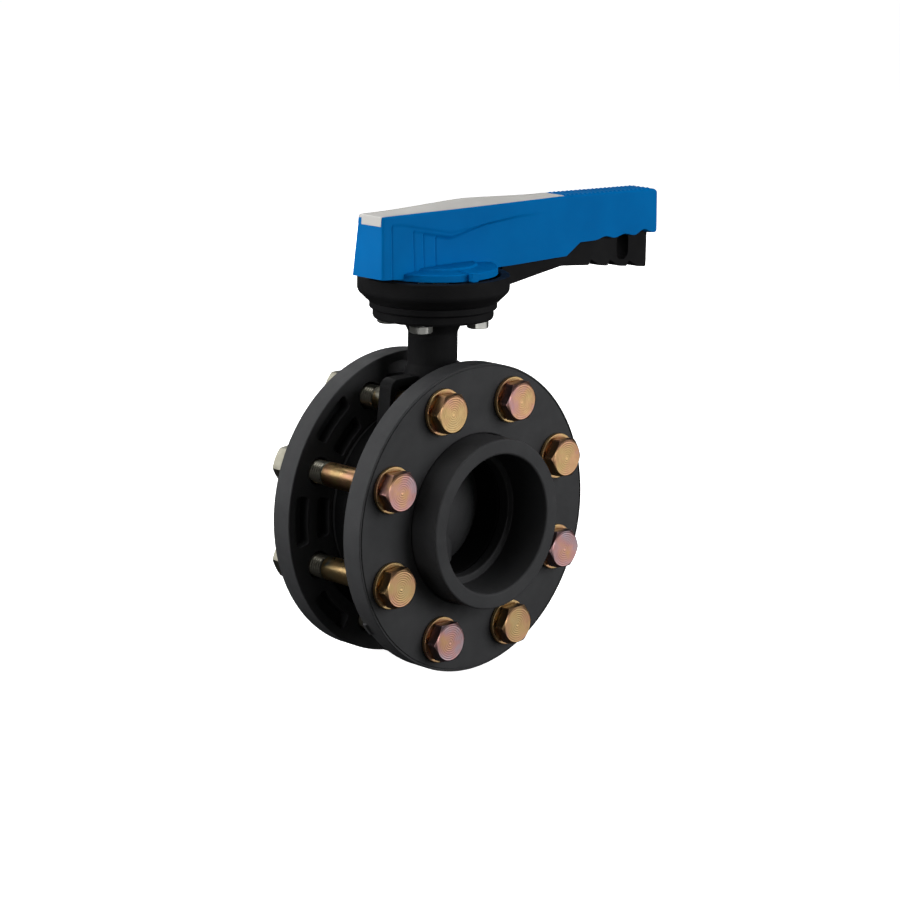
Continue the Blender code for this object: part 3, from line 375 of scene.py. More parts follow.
CHECK_HIGH = 0.8
CHECK_LOW = 0.1
CHECK_THICKNESS = 0.5

# Trigger
TRIGGER_FRONT = 53.8
TRIGGER_END = 194.5
TRIGGER_LOW = 139.6
TRIGGER_TOP = 168
TRIGGER_HALF = 8.5
TRIGGER_EDGE = 0.5
TRIGGER_KNEE = (110, 148.2)
FINGER_COUNT = 3
FINGER_X = 139
FINGER_PITCH = 19
FINGER_PROFILE = ((-2.2, 0), (0, 3.9), (9, 0))
FINGER_LINE_X = 136.8
FINGER_LINE_Z = 146.0
FINGER_SLOPE = 0.112
LOCK_HOLE = [(164.25, 147), (175.75, 147), (175.75, 165), (164.25, 165)]
LOCK_HOLE_CORNER = 5.4
PIVOT = (80, 171.5)
PIN_HOLE = 3.3
PIVOT_BOSS = 7
TOOTH_PROFILE = [(46.1, 139.6), (57, 139.6), (57, 147.6), (46.1, 147.6)]
TOOTH_HALF = 1.3

# Stage, in metres
FLOOR_HALF = 40
FLOOR_DROP = 0.0005
LIGHT_AIM = (0.03, 0, 0.05)


def mix(a, b, share):
    return a + (b - a) * share


def clamped(share):
    return min(1.0, max(0.0, share))


def step(x, low, high):
    """A smooth rise from 0 at low to 1 at high."""
    share = clamped((x - low) / (high - low))
    return share * share * (3 - 2 * share)


def circle(radius, steps, centre=(0, 0), turn=0.0):
    """Points evenly round a circle, the first at an angle of turn."""
    angles = [turn + 2 * math.pi * k / steps for k in range(steps)]
    return [(centre[0] + radius * math.cos(a), centre[1] + radius * math.sin(a)) for a in angles]


def add_object(name, data):
    obj = bpy.data.objects.new(name, data)
    bpy.context.scene.collection.objects.link(obj)
    return obj


class Shape:
    """Points and faces of a piece, gathered in millimetres."""

    def __init__(self):
        self.points = []
        self.faces = []

    def grid(self, rows):
        """Join rows of points with four-sided faces."""
        start = len(self.points)
        width = len(rows[0])
        for row in rows:
            self.points.extend(row)
        for i in range(len(rows) - 1):
            for j in range(width - 1):
                a = start + i * width + j
                self.faces.append((a, a + 1, a + width + 1, a + width))

    def cap(self, loop):
        """Fill a loop of points with one face."""
        start = len(self.points)
        self.points.extend(loop)
        self.faces.append(tuple(range(start, start + len(loop))))

    def build(self, name):
        mesh = bpy.data.meshes.new(name)
        mesh.from_pydata([Vector(p) * MM for p in self.points], [], self.faces)
        bm = bmesh.new()
        bm.from_mesh(mesh)
        bmesh.ops.remove_doubles(bm, verts=bm.verts, dist=MERGE)
        bmesh.ops.dissolve_degenerate(bm, edges=bm.edges, dist=MERGE)
        bmesh.ops.recalc_face_normals(bm, faces=bm.faces)
        bm.to_mesh(mesh)
        bm.free()
        return add_object(name, mesh)


def filleted(corners, radii, steps=4):
    """Round the corners of a closed outline. A radius of 0 keeps a corner."""
    count = len(corners)
    if not isinstance(radii, list):
        radii = [radii] * count
    outline = []
    for i, (corner, radius) in enumerate(zip(corners, radii)):
        here = Vector(corner)
        if not radius:
            outline.append(tuple(here))
            continue
        before = (Vector(corners[i - 1]) - here).normalized()
        after = (Vector(corners[(i + 1) % count]) - here).normalized()
        half = before.angle(after) / 2
        centre = here + (before + after).normalized() * radius / math.sin(half)
        start = here + before * radius / math.tan(half) - centre
        end = here + after * radius / math.tan(half) - centre
        turn = start.angle_signed(end)
        for k in range(steps + 1):
            spoke = start.copy()
            spoke.rotate(Matrix.Rotation(-turn * k / steps, 2))
            outline.append(tuple(centre + spoke))
    return outline


def lathe(name, outline, steps):
    """Turn a closed outline of (radius, height) points about Z."""
    loop = [*outline, outline[0]]
    rows = []
    for i in range(steps + 1):
        angle = 2 * math.pi * (i % steps) / steps
        rows.append([(r * math.cos(angle), r * math.sin(angle), z) for r, z in loop])
    shape = Shape()
    shape.grid(rows)
    return shape.build(name)


def prism(name, near, far):
    """A solid between two like loops of points."""
    shape = Shape()
    shape.cap(near)
    shape.cap(far)
    shape.grid([[*near, near[0]], [*far, far[0]]])
    return shape.build(name)


def slab(name, outline, low, high):
    """A plate with an outline of (x, z) points, from low to high along Y."""
    return prism(name, [(x, low, z) for x, z in outline], [(x, high, z) for x, z in outline])


def sheet(name, top, foot):
    """A closed plate between two grids of points."""
    shape = Shape()
    shape.grid(top)
    shape.grid(foot)
    for k in (0, -1):
        shape.grid([top[k], foot[k]])
        shape.grid([[row[k] for row in top], [row[k] for row in foot]])
    return shape.build(name)


def hole_tool(radius, low, high, steps, place=(0, 0)):
    """An upright cylinder at an (x, y) place, to cut a hole with."""
    bar = lathe("hole", [(0, low), (radius, low), (radius, high), (0, high)], steps)
    bar.data.transform(Matrix.Translation(Vector((*place, 0)) * MM))
    return bar


def settle(obj):
    """Carry out an object's modifiers."""
    bpy.context.view_layer.update()
    graph = bpy.context.evaluated_depsgraph_get()
    mesh = bpy.data.meshes.new_from_object(obj.evaluated_get(graph))
    obj.modifiers.clear()
    obj.data = mesh
    return obj


def carve(obj, tools, operation="DIFFERENCE"):
    """Cut tools out of an object, or join them to it, and remove them."""
    for tool in tools:
        modifier = obj.modifiers.new("carve", "BOOLEAN")
        modifier.operation = operation
        modifier.solver = "EXACT"
        modifier.object = tool
    settle(obj)
    for tool in tools:
        bpy.data.objects.remove(tool)
    return obj


def soften(obj, width, angle=ROUNDED):
    """Round the sharp edges of a piece."""
    bevel = obj.modifiers.new("soften", "BEVEL")
    bevel.width = width * MM
    bevel.segments = 2
    bevel.limit_method = "ANGLE"
    bevel.angle_limit = angle
    bevel.use_clamp_overlap = False
    return settle(obj)


def piece(obj, material, body, nodes, sharp=SHARP):
    """Shade a finished shape, give it its material, and put it in the place of its solids."""
    obj.data.shade_smooth()
    obj.data.set_sharp_from_angle(angle=sharp)
    weigh = obj.modifiers.new("flat_faces", "WEIGHTED_NORMAL")
    weigh.keep_sharp = True
    obj.data.materials.clear()
    obj.data.materials.append(material)
    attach(obj, body)
    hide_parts(*nodes)


# Materials


class Look:
    """A node material with short ways to add nodes."""

    def __init__(self, name, **sockets):
        self.material = bpy.data.materials.new(name)
        self.material.use_nodes = True
        self.tree = self.material.node_tree
        self.shader = self.tree.nodes["Principled BSDF"]
        for socket, value in sockets.items():
            self.shader.inputs[socket.replace("_", " ")].default_value = value
        self.coordinates = self.add("ShaderNodeTexCoord").outputs["Object"]

    def add(self, kind, **settings):
        node = self.tree.nodes.new(kind)
        for key, value in settings.items():
            setattr(node, key, value)
        return node

    def link(self, source, target):
        self.tree.links.new(source, target)

    def noise(self, scale, detail=3, coordinates=None):
        node = self.add("ShaderNodeTexNoise")
        node.inputs["Scale"].default_value = scale
        node.inputs["Detail"].default_value = detail
        self.link(coordinates or self.coordinates, node.inputs["Vector"])
        return node.outputs["Fac"]

    def ramp(self, source, stops):
        node = self.add("ShaderNodeValToRGB")
        elements = node.color_ramp.elements
        while len(elements) < len(stops):
            elements.new(1.0)
        for element, (place, colour) in zip(elements, stops):
            element.position = place
            element.color = (*colour, 1.0)
        self.link(source, node.inputs["Fac"])
        return node.outputs["Color"]

    def span(self, source, low, high, start=0.3, end=0.7):
        """Map a source from start and end onto low and high."""
        node = self.add("ShaderNodeMapRange")
        for socket, value in (("From Min", start), ("From Max", end), ("To Min", low), ("To Max", high)):
            node.inputs[socket].default_value = value
        self.link(source, node.inputs["Value"])
        return node.outputs["Result"]

    def math(self, operation, a, b):
        node = self.add("ShaderNodeMath", operation=operation)
        for socket, value in zip(node.inputs, (a, b)):
            if isinstance(value, (int, float)):
                socket.default_value = value
            else:
                self.link(value, socket)
        return node.outputs["Value"]

    def colour(self, source):
        self.link(source, self.shader.inputs["Base Color"])

    def roughness(self, source):
        self.link(source, self.shader.inputs["Roughness"])

    def bump(self, source, strength, distance):
        node = self.add("ShaderNodeBump")
        node.inputs["Strength"].default_value = strength
        node.inputs["Distance"].default_value = distance * MM
        self.link(source, node.inputs["Height"])
        self.link(node.outputs["Normal"], self.shader.inputs["Normal"])


def plastic(name, dark, light, rough, grain, strength, specular=0.5):
    """A moulded plastic: cloudy colour, uneven gloss and a fine grain."""
    look = Look(name, Specular_IOR_Level=specular)
    cloud = look.noise(38, 4)
    look.colour(look.ramp(cloud, [(0.3, dark), (0.7, light)]))
    look.roughness(look.span(look.noise(120, 5), rough - 0.06, rough + 0.08))
    look.bump(look.noise(grain, 2), strength, 0.12)
    return look.material


def zinc_plating():
    """Yellow zinc plating: silver threads and nuts, gold shanks, gold to pink heads with painted shade on
    their hex flats and a painted highlight along their corners.

    Each piece's own colour sets how far its gold has drifted to pink.
    """
    look = Look("yellow_zinc", Metallic=1.0)
    info = look.add("ShaderNodeObjectInfo")
    spread = look.add("ShaderNodeVectorMath", operation="MULTIPLY_ADD")
    spread.inputs[1].default_value = (17.0, 17.0, 17.0)
    look.link(info.outputs["Location"], spread.inputs[0])
    look.link(look.coordinates, spread.inputs[2])
    drift = look.span(look.noise(75, 3, spread.outputs["Vector"]), -0.22, 0.22)
    parts = look.add("ShaderNodeSeparateXYZ")
    look.link(look.coordinates, parts.inputs["Vector"])
    along = parts.outputs["Z"]
    across = look.math("MULTIPLY", parts.outputs["X"], parts.outputs["X"])
    upward = look.math("MULTIPLY", parts.outputs["Y"], parts.outputs["Y"])
    radius = look.math("SQRT", look.math("ADD", across, upward), 0.0)
    tint = look.math("ADD", info.outputs["Color"], drift)
    tint = look.math("ADD", tint, look.span(radius, -0.08, 0.10, 2 * MM, 11 * MM))
    towards_gold = look.span(along, 0.0, -0.25, -42 * MM, -40 * MM)
    tint = look.math("ADD", tint, towards_gold)
    towards_silver = look.span(along, 0.0, -1.0, (THREAD_START - 0.4) * MM, (THREAD_START + 0.4) * MM)
    tint = look.math("ADD", tint, towards_silver)
    silver, pale_gold, gold = (0.45, 0.43, 0.35), (0.66, 0.50, 0.25), (0.71, 0.48, 0.22)
    orange, pink, violet = (0.73, 0.41, 0.23), (0.68, 0.36, 0.34), (0.57, 0.44, 0.49)
    hue = look.ramp(tint, [(0.0, silver), (0.10, pale_gold), (0.36, gold), (0.58, orange), (0.80, pink),
                           (1.0, violet)])
    # Painted shade darkens the hex flats of each bolt head, and a painted highlight keeps a bright line along
    # its corners
    unshaded, painted_shade = (1.0, 1.0, 1.0), (0.40, 0.40, 0.40)
    flat_shade_corner_highlight = look.ramp(look.span(radius, 0.0, 1.0, 11.5 * MM, 14.0 * MM),
                      [(0.1, unshaded), (0.2, painted_shade), (0.65, painted_shade), (0.85, unshaded)])
    head = look.span(along, 1.0, 0.0, -43.7 * MM, -43.2 * MM)
    shade = look.math("SUBTRACT", 1.0, look.math("MULTIPLY", head, look.math("SUBTRACT", 1.0, flat_shade_corner_highlight)))
    painted_shade_colour = look.add("ShaderNodeVectorMath", operation="SCALE")
    look.link(hue, painted_shade_colour.inputs[0])
    look.link(shade, painted_shade_colour.inputs["Scale"])
    look.colour(painted_shade_colour.outputs["Vector"])
    look.roughness(look.span(look.noise(260, 4), 0.26, 0.42))
    return look.material


def steel(name, dark, light, rough):
    look = Look(name, Metallic=1.0)
    look.colour(look.ramp(look.noise(90, 4), [(0.3, dark), (0.7, light)]))
    look.roughness(look.span(look.noise(300, 4), rough - 0.06, rough + 0.08))
    look.bump(look.noise(1400, 2), 0.1, 0.05)
    return look.material


GREY = plastic("grey_pvc", (0.033, 0.0335, 0.035), (0.041, 0.0415, 0.043), 0.58, 1600, 0.25, 0.20)
BLACK = plastic("black_plastic", (0.0066, 0.0066, 0.007), (0.0102, 0.0102, 0.0106), 0.50, 2200, 0.30, 0.04)
RUBBER = plastic("black_rubber", (0.005, 0.005, 0.005), (0.008, 0.008, 0.008), 0.72, 1200, 0.20, 0.12)
BLUE = plastic("blue_plastic", (0.000, 0.114, 0.345), (0.000, 0.129, 0.382), 0.42, 2600, 0.12, 0.02)
INLAY = plastic("pale_plastic", (0.475, 0.465, 0.445), (0.535, 0.523, 0.50), 0.48, 2000, 0.10, 0.20)
BEARING = plastic("bearing_plastic", (0.66, 0.66, 0.63), (0.74, 0.74, 0.71), 0.55, 1500, 0.10)
ZINC = zinc_plating()
STEEL = steel("stainless", (0.50, 0.50, 0.47), (0.62, 0.62, 0.58), 0.34)


# Rings and stub ends


def slot_tool(radius, angle):
    """A curved bar with rounded corners, to cut one slot into a ring's inner face."""
    reach = SLOT_HALF_ANGLE * radius
    low, high = radius - SLOT_HALF_WIDTH, radius + SLOT_HALF_WIDTH
    flat = filleted([(low, -reach), (high, -reach), (high, reach), (low, reach)], SLOT_CORNER, steps=3)
    ends = []
    for i, (r, arc) in enumerate(flat):
        ends.append((r, arc))
        after = flat[(i + 1) % len(flat)]
        if abs(after[1] - arc) > reach:
            ends += [(r, mix(arc, after[1], k / SLOT_SPLITS)) for k in range(1, SLOT_SPLITS)]
    loop = []
    for r, arc in ends:
        turn = angle + arc / radius
        loop.append((r * math.cos(turn), r * math.sin(turn)))
    return prism("slot", [(x, y, RING_INNER - SLOT_DEPTH) for x, y in loop],
                 [(x, y, RING_INNER + SLOT_DEPTH) for x, y in loop])


def rim_tab():
    """The small moulded tab on the back edge of the front ring's rim."""
    tab = slab("tab", TAB_PROFILE, -TAB_HALF_LENGTH, TAB_HALF_LENGTH)
    tab.data.transform(Matrix.Rotation(TAB_ANGLE, 4, "Z"))
    return tab


def backing_ring(name, node, turn, tabs):
    near, far = RING_GROOVE
    groove = RING_OUTER - RING_GROOVE_DEPTH
    corners = [(RING_HOLE, RING_OUTER), (near, RING_OUTER), (near, groove), (far, groove), (far, RING_OUTER),
               (RING_RADIUS, RING_OUTER), (RING_RADIUS, RING_INNER), (RECESS_RADIUS, RING_INNER),
               (RECESS_RADIUS, RECESS_FLOOR), (RING_HOLE, RECESS_FLOOR)]
    radii = [1.2, 0.3, 0.2, 0.2, 0.3, 0.7, 0.8, 0.8, 0.5, 0.5]
    ring = lathe(name, filleted(corners, radii), STEPS_LARGE)
    if tabs:
        carve(ring, tabs, "UNION")
    low, high = RING_INNER - BOLT_HOLE_OVERRUN, RING_OUTER + BOLT_HOLE_OVERRUN
    tools = []
    for i, place in enumerate(circle(BOLT_CIRCLE, BOLT_COUNT, turn=BOLT_TURN)):
        tools.append(hole_tool(BOLT_HOLE, low, high, STEPS_HOLE, place))
        for radius in SLOT_RADII:
            tools.append(slot_tool(radius, 2 * math.pi * i / BOLT_COUNT))
    carve(ring, tools)
    soften(ring, RING_EDGE, ROUNDED_AFTER_CUTS)
    ring.data.transform(turn)
    piece(ring, GREY, "valve", [node])


def stub_end(name, node, turn):
    corners = [(SOCKET_MOUTH, HUB_END), (HUB_RADIUS, HUB_END), (HUB_RADIUS, COLLAR_BACK),
               (COLLAR_RADIUS, COLLAR_BACK), (COLLAR_RADIUS, COLLAR_FACE), (PIPE_BORE, COLLAR_FACE),
               (PIPE_BORE, SOCKET_STOP), (SOCKET_FOOT, SOCKET_STOP)]
    radii = [1.6, 1.4, 1.2, 0.6, 0.6, 1.0, 1.0, 0.8]
    stub = lathe(name, filleted(corners, radii, steps=5), STEPS_LARGE)
    stub.data.transform(turn)
    piece(stub, GREY, "valve", [node])


# Bolts, nuts and washers


def hex_radius(angle, flats):
    """Distance from the axis to a hexagon with slightly worn corners, one of them at angle 0."""
    wedge = angle % (math.pi / 3) - math.pi / 6
    return min(flats / 2 / math.cos(wedge), HEX_CORNER_WEAR * flats / math.sqrt(3))


def hex_block(shape, flats, height, inner, seat, way, nut=False):
    """Add a hexagon from its seat outwards, 1 or -1 along Z, outside a hole or shank.

    A nut is chamfered at both ends and open. A head has turned marks on its face.
    """
    face = HEX_FACE_SHARE * flats
    pad = HEX_PAD_SHARE * flats
    rows = []
    for i in range(STEPS_HEX + 1):
        angle = 2 * math.pi * (i % STEPS_HEX) / STEPS_HEX
        reach = hex_radius(angle, flats)
        drop = (reach - face) * math.tan(HEX_CHAMFER)
        foot = drop if nut else HEX_FOOT
        profile = [(inner, 0), (pad, 0), (pad, HEX_PAD), (reach, HEX_PAD + foot)]
        profile += [(reach, height - drop), (face, height)]
        if nut:
            profile.append((inner, height - NUT_MOUTH))
        else:
            profile += turned_marks(face, height)
        c, s = math.cos(angle), math.sin(angle)
        rows.append([(r * c, r * s, seat + way * h) for r, h in profile])
    shape.grid(rows)


def turned_marks(face, height):
    """Points (radius, height) of the fine rings on a bolt's slightly dished face, inwards."""
    points = []
    for k in range(1, MARK_COUNT + 1):
        r = face * (1 - k / MARK_COUNT)
        dish = FACE_DISH * (1 - (r / face) ** 2)
        cut = MARK_DEPTH if k % 2 or k == MARK_COUNT else 0.0
        points.append((r, height - dish - cut))
    return points


def threaded(shape, radius, pitch, start, tip, foot):
    """Add a bolt's plain shank from its foot, then a screw thread up to its tip."""
    depth = THREAD_DEPTH_SHARE * pitch
    heights = [foot, mix(foot, start, 0.5), start]
    count = round((tip - start) / (pitch / 4))
    heights += [start + (tip - start) * k / count for k in range(1, count + 1)]
    rows = []
    for i in range(STEPS_HEX + 1):
        part = (i % STEPS_HEX) / STEPS_HEX
        angle = 2 * math.pi * part
        row = []
        for z in heights:
            r = radius
            if z > start:
                turn = (z / pitch - part) % 1.0
                groove = depth * abs(2 * turn - 1) * min(1.0, (z - start) / pitch)
                r = min(radius - groove, radius - TIP_CHAMFER + (tip - z))
            row.append((r * math.cos(angle), r * math.sin(angle), z))
        row.append((0, 0, tip))
        rows.append(row)
    shape.grid(rows)


def copies(base, node_name, count, pattern):
    """Copies of one finished shape, each with its node and the middle of that node."""
    mesh = pattern.data
    bpy.data.objects.remove(pattern)
    made = []
    for i in range(1, count + 1):
        node = f"{node_name}_{i}"
        low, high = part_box(node)
        made.append((add_object(f"{base}_{i}", mesh), node, (low + high) / 2))
    return made


def flange_set(base, node_name, pattern, spins, tints):
    """Place one shape at every bolt of the rings, each with its own small turn and tint."""
    for (obj, node, middle), spin in zip(copies(base, node_name, BOLT_COUNT, pattern), spins):
        share = math.atan2(middle.z, middle.x) / (2 * math.pi) % 1.0
        tint = tints[int(share * BOLT_COUNT)]
        obj.color = (tint, tint, tint, 1.0)
        turned = Matrix.Rotation(math.radians(spin), 4, "Z")
        obj.matrix_world = Matrix.Translation((middle.x, 0, middle.z)) @ TO_REAR @ turned
        piece(obj, ZINC, "valve", [node], SHARP_FASTENER)


def flange_fasteners():
    bolt = Shape()
    hex_block(bolt, BOLT_FLATS, BOLT_HEAD, BOLT_SHANK, -BOLT_SEAT, -1)
    threaded(bolt, BOLT_SHANK, THREAD_PITCH, THREAD_START, BOLT_TIP, -BOLT_SEAT)
    flange_set("hex_bolt", "flange_bolt", bolt.build("bolt"), BOLT_SPINS, BOLT_TINTS)
    nut = Shape()
    hex_block(nut, BOLT_FLATS, NUT_HEIGHT, NUT_HOLE, BOLT_SEAT, 1, nut=True)
    ends = (BOLT_SEAT, BOLT_SEAT + NUT_HEIGHT - NUT_MOUTH)
    hole = circle(NUT_HOLE, STEPS_HEX)
    nut.grid([[(x, y, z) for z in ends] for x, y in [*hole, hole[0]]])
    flange_set("hex_nut", "flange_nut", nut.build("nut"), BOLT_SPINS[::-1], WASHER_TINTS)
    for base, node_name, low in (("front_washer", "head_washer", -BOLT_SEAT + GAP),
                                 ("rear_washer", "nut_washer", BOLT_SEAT - GAP - WASHER_THICKNESS)):
        high = low + WASHER_THICKNESS
        corners = [(WASHER_HOLE, low), (WASHER_RADIUS, low), (WASHER_RADIUS, high), (WASHER_HOLE, high)]
        washer = lathe("washer", filleted(corners, WASHER_EDGE, steps=3), STEPS_MEDIUM)
        flange_set(base, node_name, washer, [0] * BOLT_COUNT, WASHER_TINTS)


# Valve body, liner, disc and plug


def lug_outline(side, inset, corner):
    top, root = side * (LUG_TOP - inset), side * (LUG_ROOT + inset)
    wide, foot = LUG_TOP_HALF - inset, LUG_ROOT_HALF - inset
    return filleted([(-wide, top), (wide, top), (foot, root), (-foot, root)], corner, steps=5)


def lug(side):
    """A plate with a raised rim and a pocket on both faces, for two of the bolts."""
    outline = lug_outline(side, 0, LUG_CORNER)
    plate = soften(slab("lug", outline, -LUG_HALF_THICKNESS, LUG_HALF_THICKNESS), LUG_EDGE)
    pocket = lug_outline(side, LUG_RIM, LUG_POCKET_CORNER)
    return carve(plate, [slab("pocket", pocket, -CUT_REACH, -LUG_HALF_WEB),
                         slab("pocket", pocket, LUG_HALF_WEB, CUT_REACH)])


def body_ribs():
    ribs = []
    for angle in RIB_ANGLES:
        rib = slab("rib", RIB_PROFILE, -RIB_HALF_LENGTH, RIB_HALF_LENGTH)
        rib.data.transform(Matrix.Rotation(math.radians(angle), 4, "Y"))
        ribs.append(soften(rib, RIB_EDGE))
    return ribs


def plate_bolt_places():
    return circle(PLATE_BOLT_RADIUS, PLATE_BOLT_COUNT, turn=PLATE_BOLT_TURN)


def body_cutters():
    """The liner's seat, the stem's stepped bore and the bolt holes."""
    mouth = LINER_MOUTH
    lip, back, inner = LINER_LIP_RADIUS + GAP, LINER_BACK + GAP, LINER_LIP_INNER - GAP
    corners = [(0, mouth), (lip, mouth), (lip, inner), (back, inner), (back, -inner), (lip, -inner),
               (lip, -mouth), (0, -mouth)]
    seat = lathe("seat", corners, STEPS_LARGE)
    seat.data.transform(TO_REAR)
    below, above = STEM_CUT
    corners = [(0, above), (RETAINER_SEAT, above), (RETAINER_SEAT, UPPER_BUSH_TOP),
               (BUSH_SEAT, UPPER_BUSH_TOP), (BUSH_SEAT, UPPER_BUSH_LOW), (STEM_HOLE, UPPER_BUSH_LOW),
               (STEM_HOLE, LOWER_BUSH_TOP), (BUSH_SEAT, LOWER_BUSH_TOP), (BUSH_SEAT, below), (0, below)]
    tools = [seat, lathe("bore", corners, STEPS_BORE)]
    for x in (-LUG_HOLE_X, LUG_HOLE_X):
        for z in (-LUG_HOLE_Z, LUG_HOLE_Z):
            hole = hole_tool(BOLT_HOLE, -CUT_REACH, CUT_REACH, STEPS_HOLE)
            hole.data.transform(Matrix.Translation(Vector((x, 0, z)) * MM) @ TO_REAR)
            tools.append(hole)
    for place in plate_bolt_places():
        tools.append(hole_tool(FLANGE_BOLT_HOLE, *FLANGE_CUT, STEPS_SMALL, place))
    return tools


def valve_body():
    corners = [(0, BODY_HALF), (BODY_RADIUS, BODY_HALF), (BODY_RADIUS, -BODY_HALF), (0, -BODY_HALF)]
    body = lathe("valve_body_shell", filleted(corners, [0, BODY_EDGE, BODY_EDGE, 0]), STEPS_LARGE)
    body.data.transform(TO_REAR)
    neck = lathe("neck", filleted(NECK_CORNERS, NECK_ROUNDING), STEPS_NECK)
    carve(body, [lug(1), lug(-1), neck, *body_ribs()], "UNION")
    carve(body, body_cutters())
    piece(body, BLACK, "valve", ["valve_body"])


def seat_liner():
    lip, inner = LINER_LIP_RADIUS, LINER_LIP_INNER
    corners = [(lip, BODY_HALF), (lip, inner), (LINER_BACK, inner), (LINER_BACK, -inner), (lip, -inner),
               (lip, -BODY_HALF), (PIPE_BORE, -BODY_HALF), (PIPE_BORE, -LINER_BULGE_END),
               (LINER_BULGE, -LINER_BULGE_FLAT), (LINER_BULGE, LINER_BULGE_FLAT),
               (PIPE_BORE, LINER_BULGE_END), (PIPE_BORE, BODY_HALF)]
    radii = [0.8, 0.3, 0.3, 0.3, 0.3, 0.8, 2.0, 0, 0, 0, 0, 2.0]
    liner = lathe("liner_ring", filleted(corners, radii), STEPS_LARGE)
    liner.data.transform(TO_REAR)
    carve(liner, [hole_tool(STEM_HOLE, -LINER_CUT, LINER_CUT, STEPS_HOLE)])
    piece(liner, RUBBER, "valve", ["seat_liner"])


def valve_disc():
    """The disc, domed on both faces, with a boss round its stem."""
    angles = [math.pi / 2 * k / DISC_SPLITS for k in range(DISC_SPLITS + 1)]
    face = [(DISC_RADIUS * math.sin(a), DISC_RIM + DISC_DOME * math.cos(a) ** 2) for a in angles]
    disc = lathe("disc_plate", face + [(r, -z) for r, z in reversed(face)], STEPS_LARGE)
    disc.data.transform(TO_REAR)
    corners = [(0, DISC_BOSS_HALF), (DISC_BOSS_RADIUS, DISC_BOSS_HALF), (DISC_BOSS_RADIUS, -DISC_BOSS_HALF),
               (0, -DISC_BOSS_HALF)]
    boss = lathe("boss", filleted(corners, [0, DISC_BOSS_EDGE, DISC_BOSS_EDGE, 0]), STEPS_MEDIUM)
    carve(disc, [boss], "UNION")
    carve(disc, [hole_tool(DISC_STEM_HOLE, -DISC_CUT, DISC_CUT, STEPS_HOLE)])
    piece(disc, GREY, "lever", ["valve_disc"])


def bottom_plug():
    corners = [(0, PLUG_TOP), (PLUG_RADIUS, PLUG_TOP), (PLUG_RADIUS, PLUG_FOOT), (0, PLUG_FOOT)]
    plug = lathe("foot_plug", filleted(corners, [0, 0.5, 1.0, 0]), STEPS_MEDIUM)
    hexagon = circle(KEY_FLATS / math.sqrt(3), 6)
    key = prism("key", [(x, y, KEY_LOW) for x, y in hexagon], [(x, y, KEY_TOP) for x, y in hexagon])
    carve(plug, [key])
    soften(plug, PLUG_EDGE, ROUNDED_AFTER_CUTS)
    piece(plug, BLACK, "valve", ["bottom_plug"])


# Throttle plate


def throttle_plate():
    """The notched cup below the lever, with a rounded lower edge."""
    corners = [(PLATE_CUP, PLATE_TOP), (PLATE_RADIUS, PLATE_TOP), (PLATE_RADIUS, PLATE_SHOULDER),
               (PLATE_FOOT_RADIUS, PLATE_FOOT), (PLATE_HOLE, PLATE_FOOT), (PLATE_HOLE, PLATE_FLOOR),
               (PLATE_CUP, PLATE_FLOOR)]
    radii = [0.6, 0.8, 5.0, 1.0, 0.4, 0.4, 1.5]
    plate = lathe("notched_plate", filleted(corners, radii, steps=6), STEPS_PLATE)
    tools = []
    for i in range(NOTCH_COUNT):
        notch = slab("notch", NOTCH_PROFILE, -NOTCH_HALF, NOTCH_HALF)
        notch.data.transform(Matrix.Rotation(NOTCH_PITCH * i, 4, "Z"))
        tools.append(notch)
    for place in plate_bolt_places():
        tools.append(hole_tool(PLATE_BOLT_HOLE, *PLATE_CUT, STEPS_SMALL, place))
    carve(plate, tools)
    soften(plate, PLATE_EDGE, ROUNDED_AFTER_CUTS)
    piece(plate, BLACK, "valve", ["throttle_plate"])


def throttle_bolts():
    bolt = Shape()
    hex_block(bolt, PLATE_BOLT_FLATS, PLATE_BOLT_HEAD, PLATE_BOLT_SHANK, PLATE_BOLT_SEAT, -1)
    threaded(bolt, PLATE_BOLT_SHANK, PLATE_BOLT_PITCH, PLATE_BOLT_THREAD, PLATE_FLOOR, PLATE_BOLT_SEAT)
    placed = copies("plate_bolt", "throttle_bolt", PLATE_BOLT_COUNT, bolt.build("plate_bolt"))
    for i, (obj, node, middle) in enumerate(placed):
        turned = Matrix.Rotation(PLATE_BOLT_SPIN * i, 4, "Z")
        obj.matrix_world = Matrix.Translation((middle.x, middle.y, 0)) @ turned
        piece(obj, STEEL, "valve", [node], SHARP_PLATE_BOLT)


# Lever


def half_width(x, z):
    """The lever narrows towards its grip and a little towards its top."""
    foot = mix(HEAD_HALF, GRIP_HALF, min(1.0, (x - HEAD_X) / (GRIP_X - HEAD_X)))
    draft = mix(HEAD_DRAFT, GRIP_DRAFT, step(x, HEAD_X, DRAFT_END_X))
    return foot - draft * (z - BASE) / (TOP - BASE)


def slanted(x, y, z):
    """A point of the lever, with the end of its head leaning back towards the top."""
    share = max(0.0, 1 - (x - HEAD_X) / SLANT_LENGTH)
    return (x + HEAD_SLANT * share * (z - BASE) / (TOP - BASE), y, z)


def grip_share(x):
    """How far a station lies along the grip, from 0 at its start to 1 at its end."""
    return max(0.0, (x - GRIP_X) / (END_X - GRIP_X))


def underside(x):
    """Height of the lever's lower edge."""
    lift = HEAD_LIFT * max(0.0, (HEAD_LIFT_X - x) / (HEAD_LIFT_X - HEAD_X))
    low = BASE + UNDER_RISE * step(x, *UNDER_RISE_X) + lift
    ramp = clamped((x - GRIP_RAMP_X) / GRIP_RAMP)
    wave = math.sin(math.pi * (x - SCALLOP_X) / SCALLOP_PITCH) ** 2 if x > SCALLOP_X else 0.0
    return mix(low, GRIP_LOW, ramp) + mix(*SCALLOP_DEPTHS, step(x, *SCALLOP_DEEPER_X)) * wave


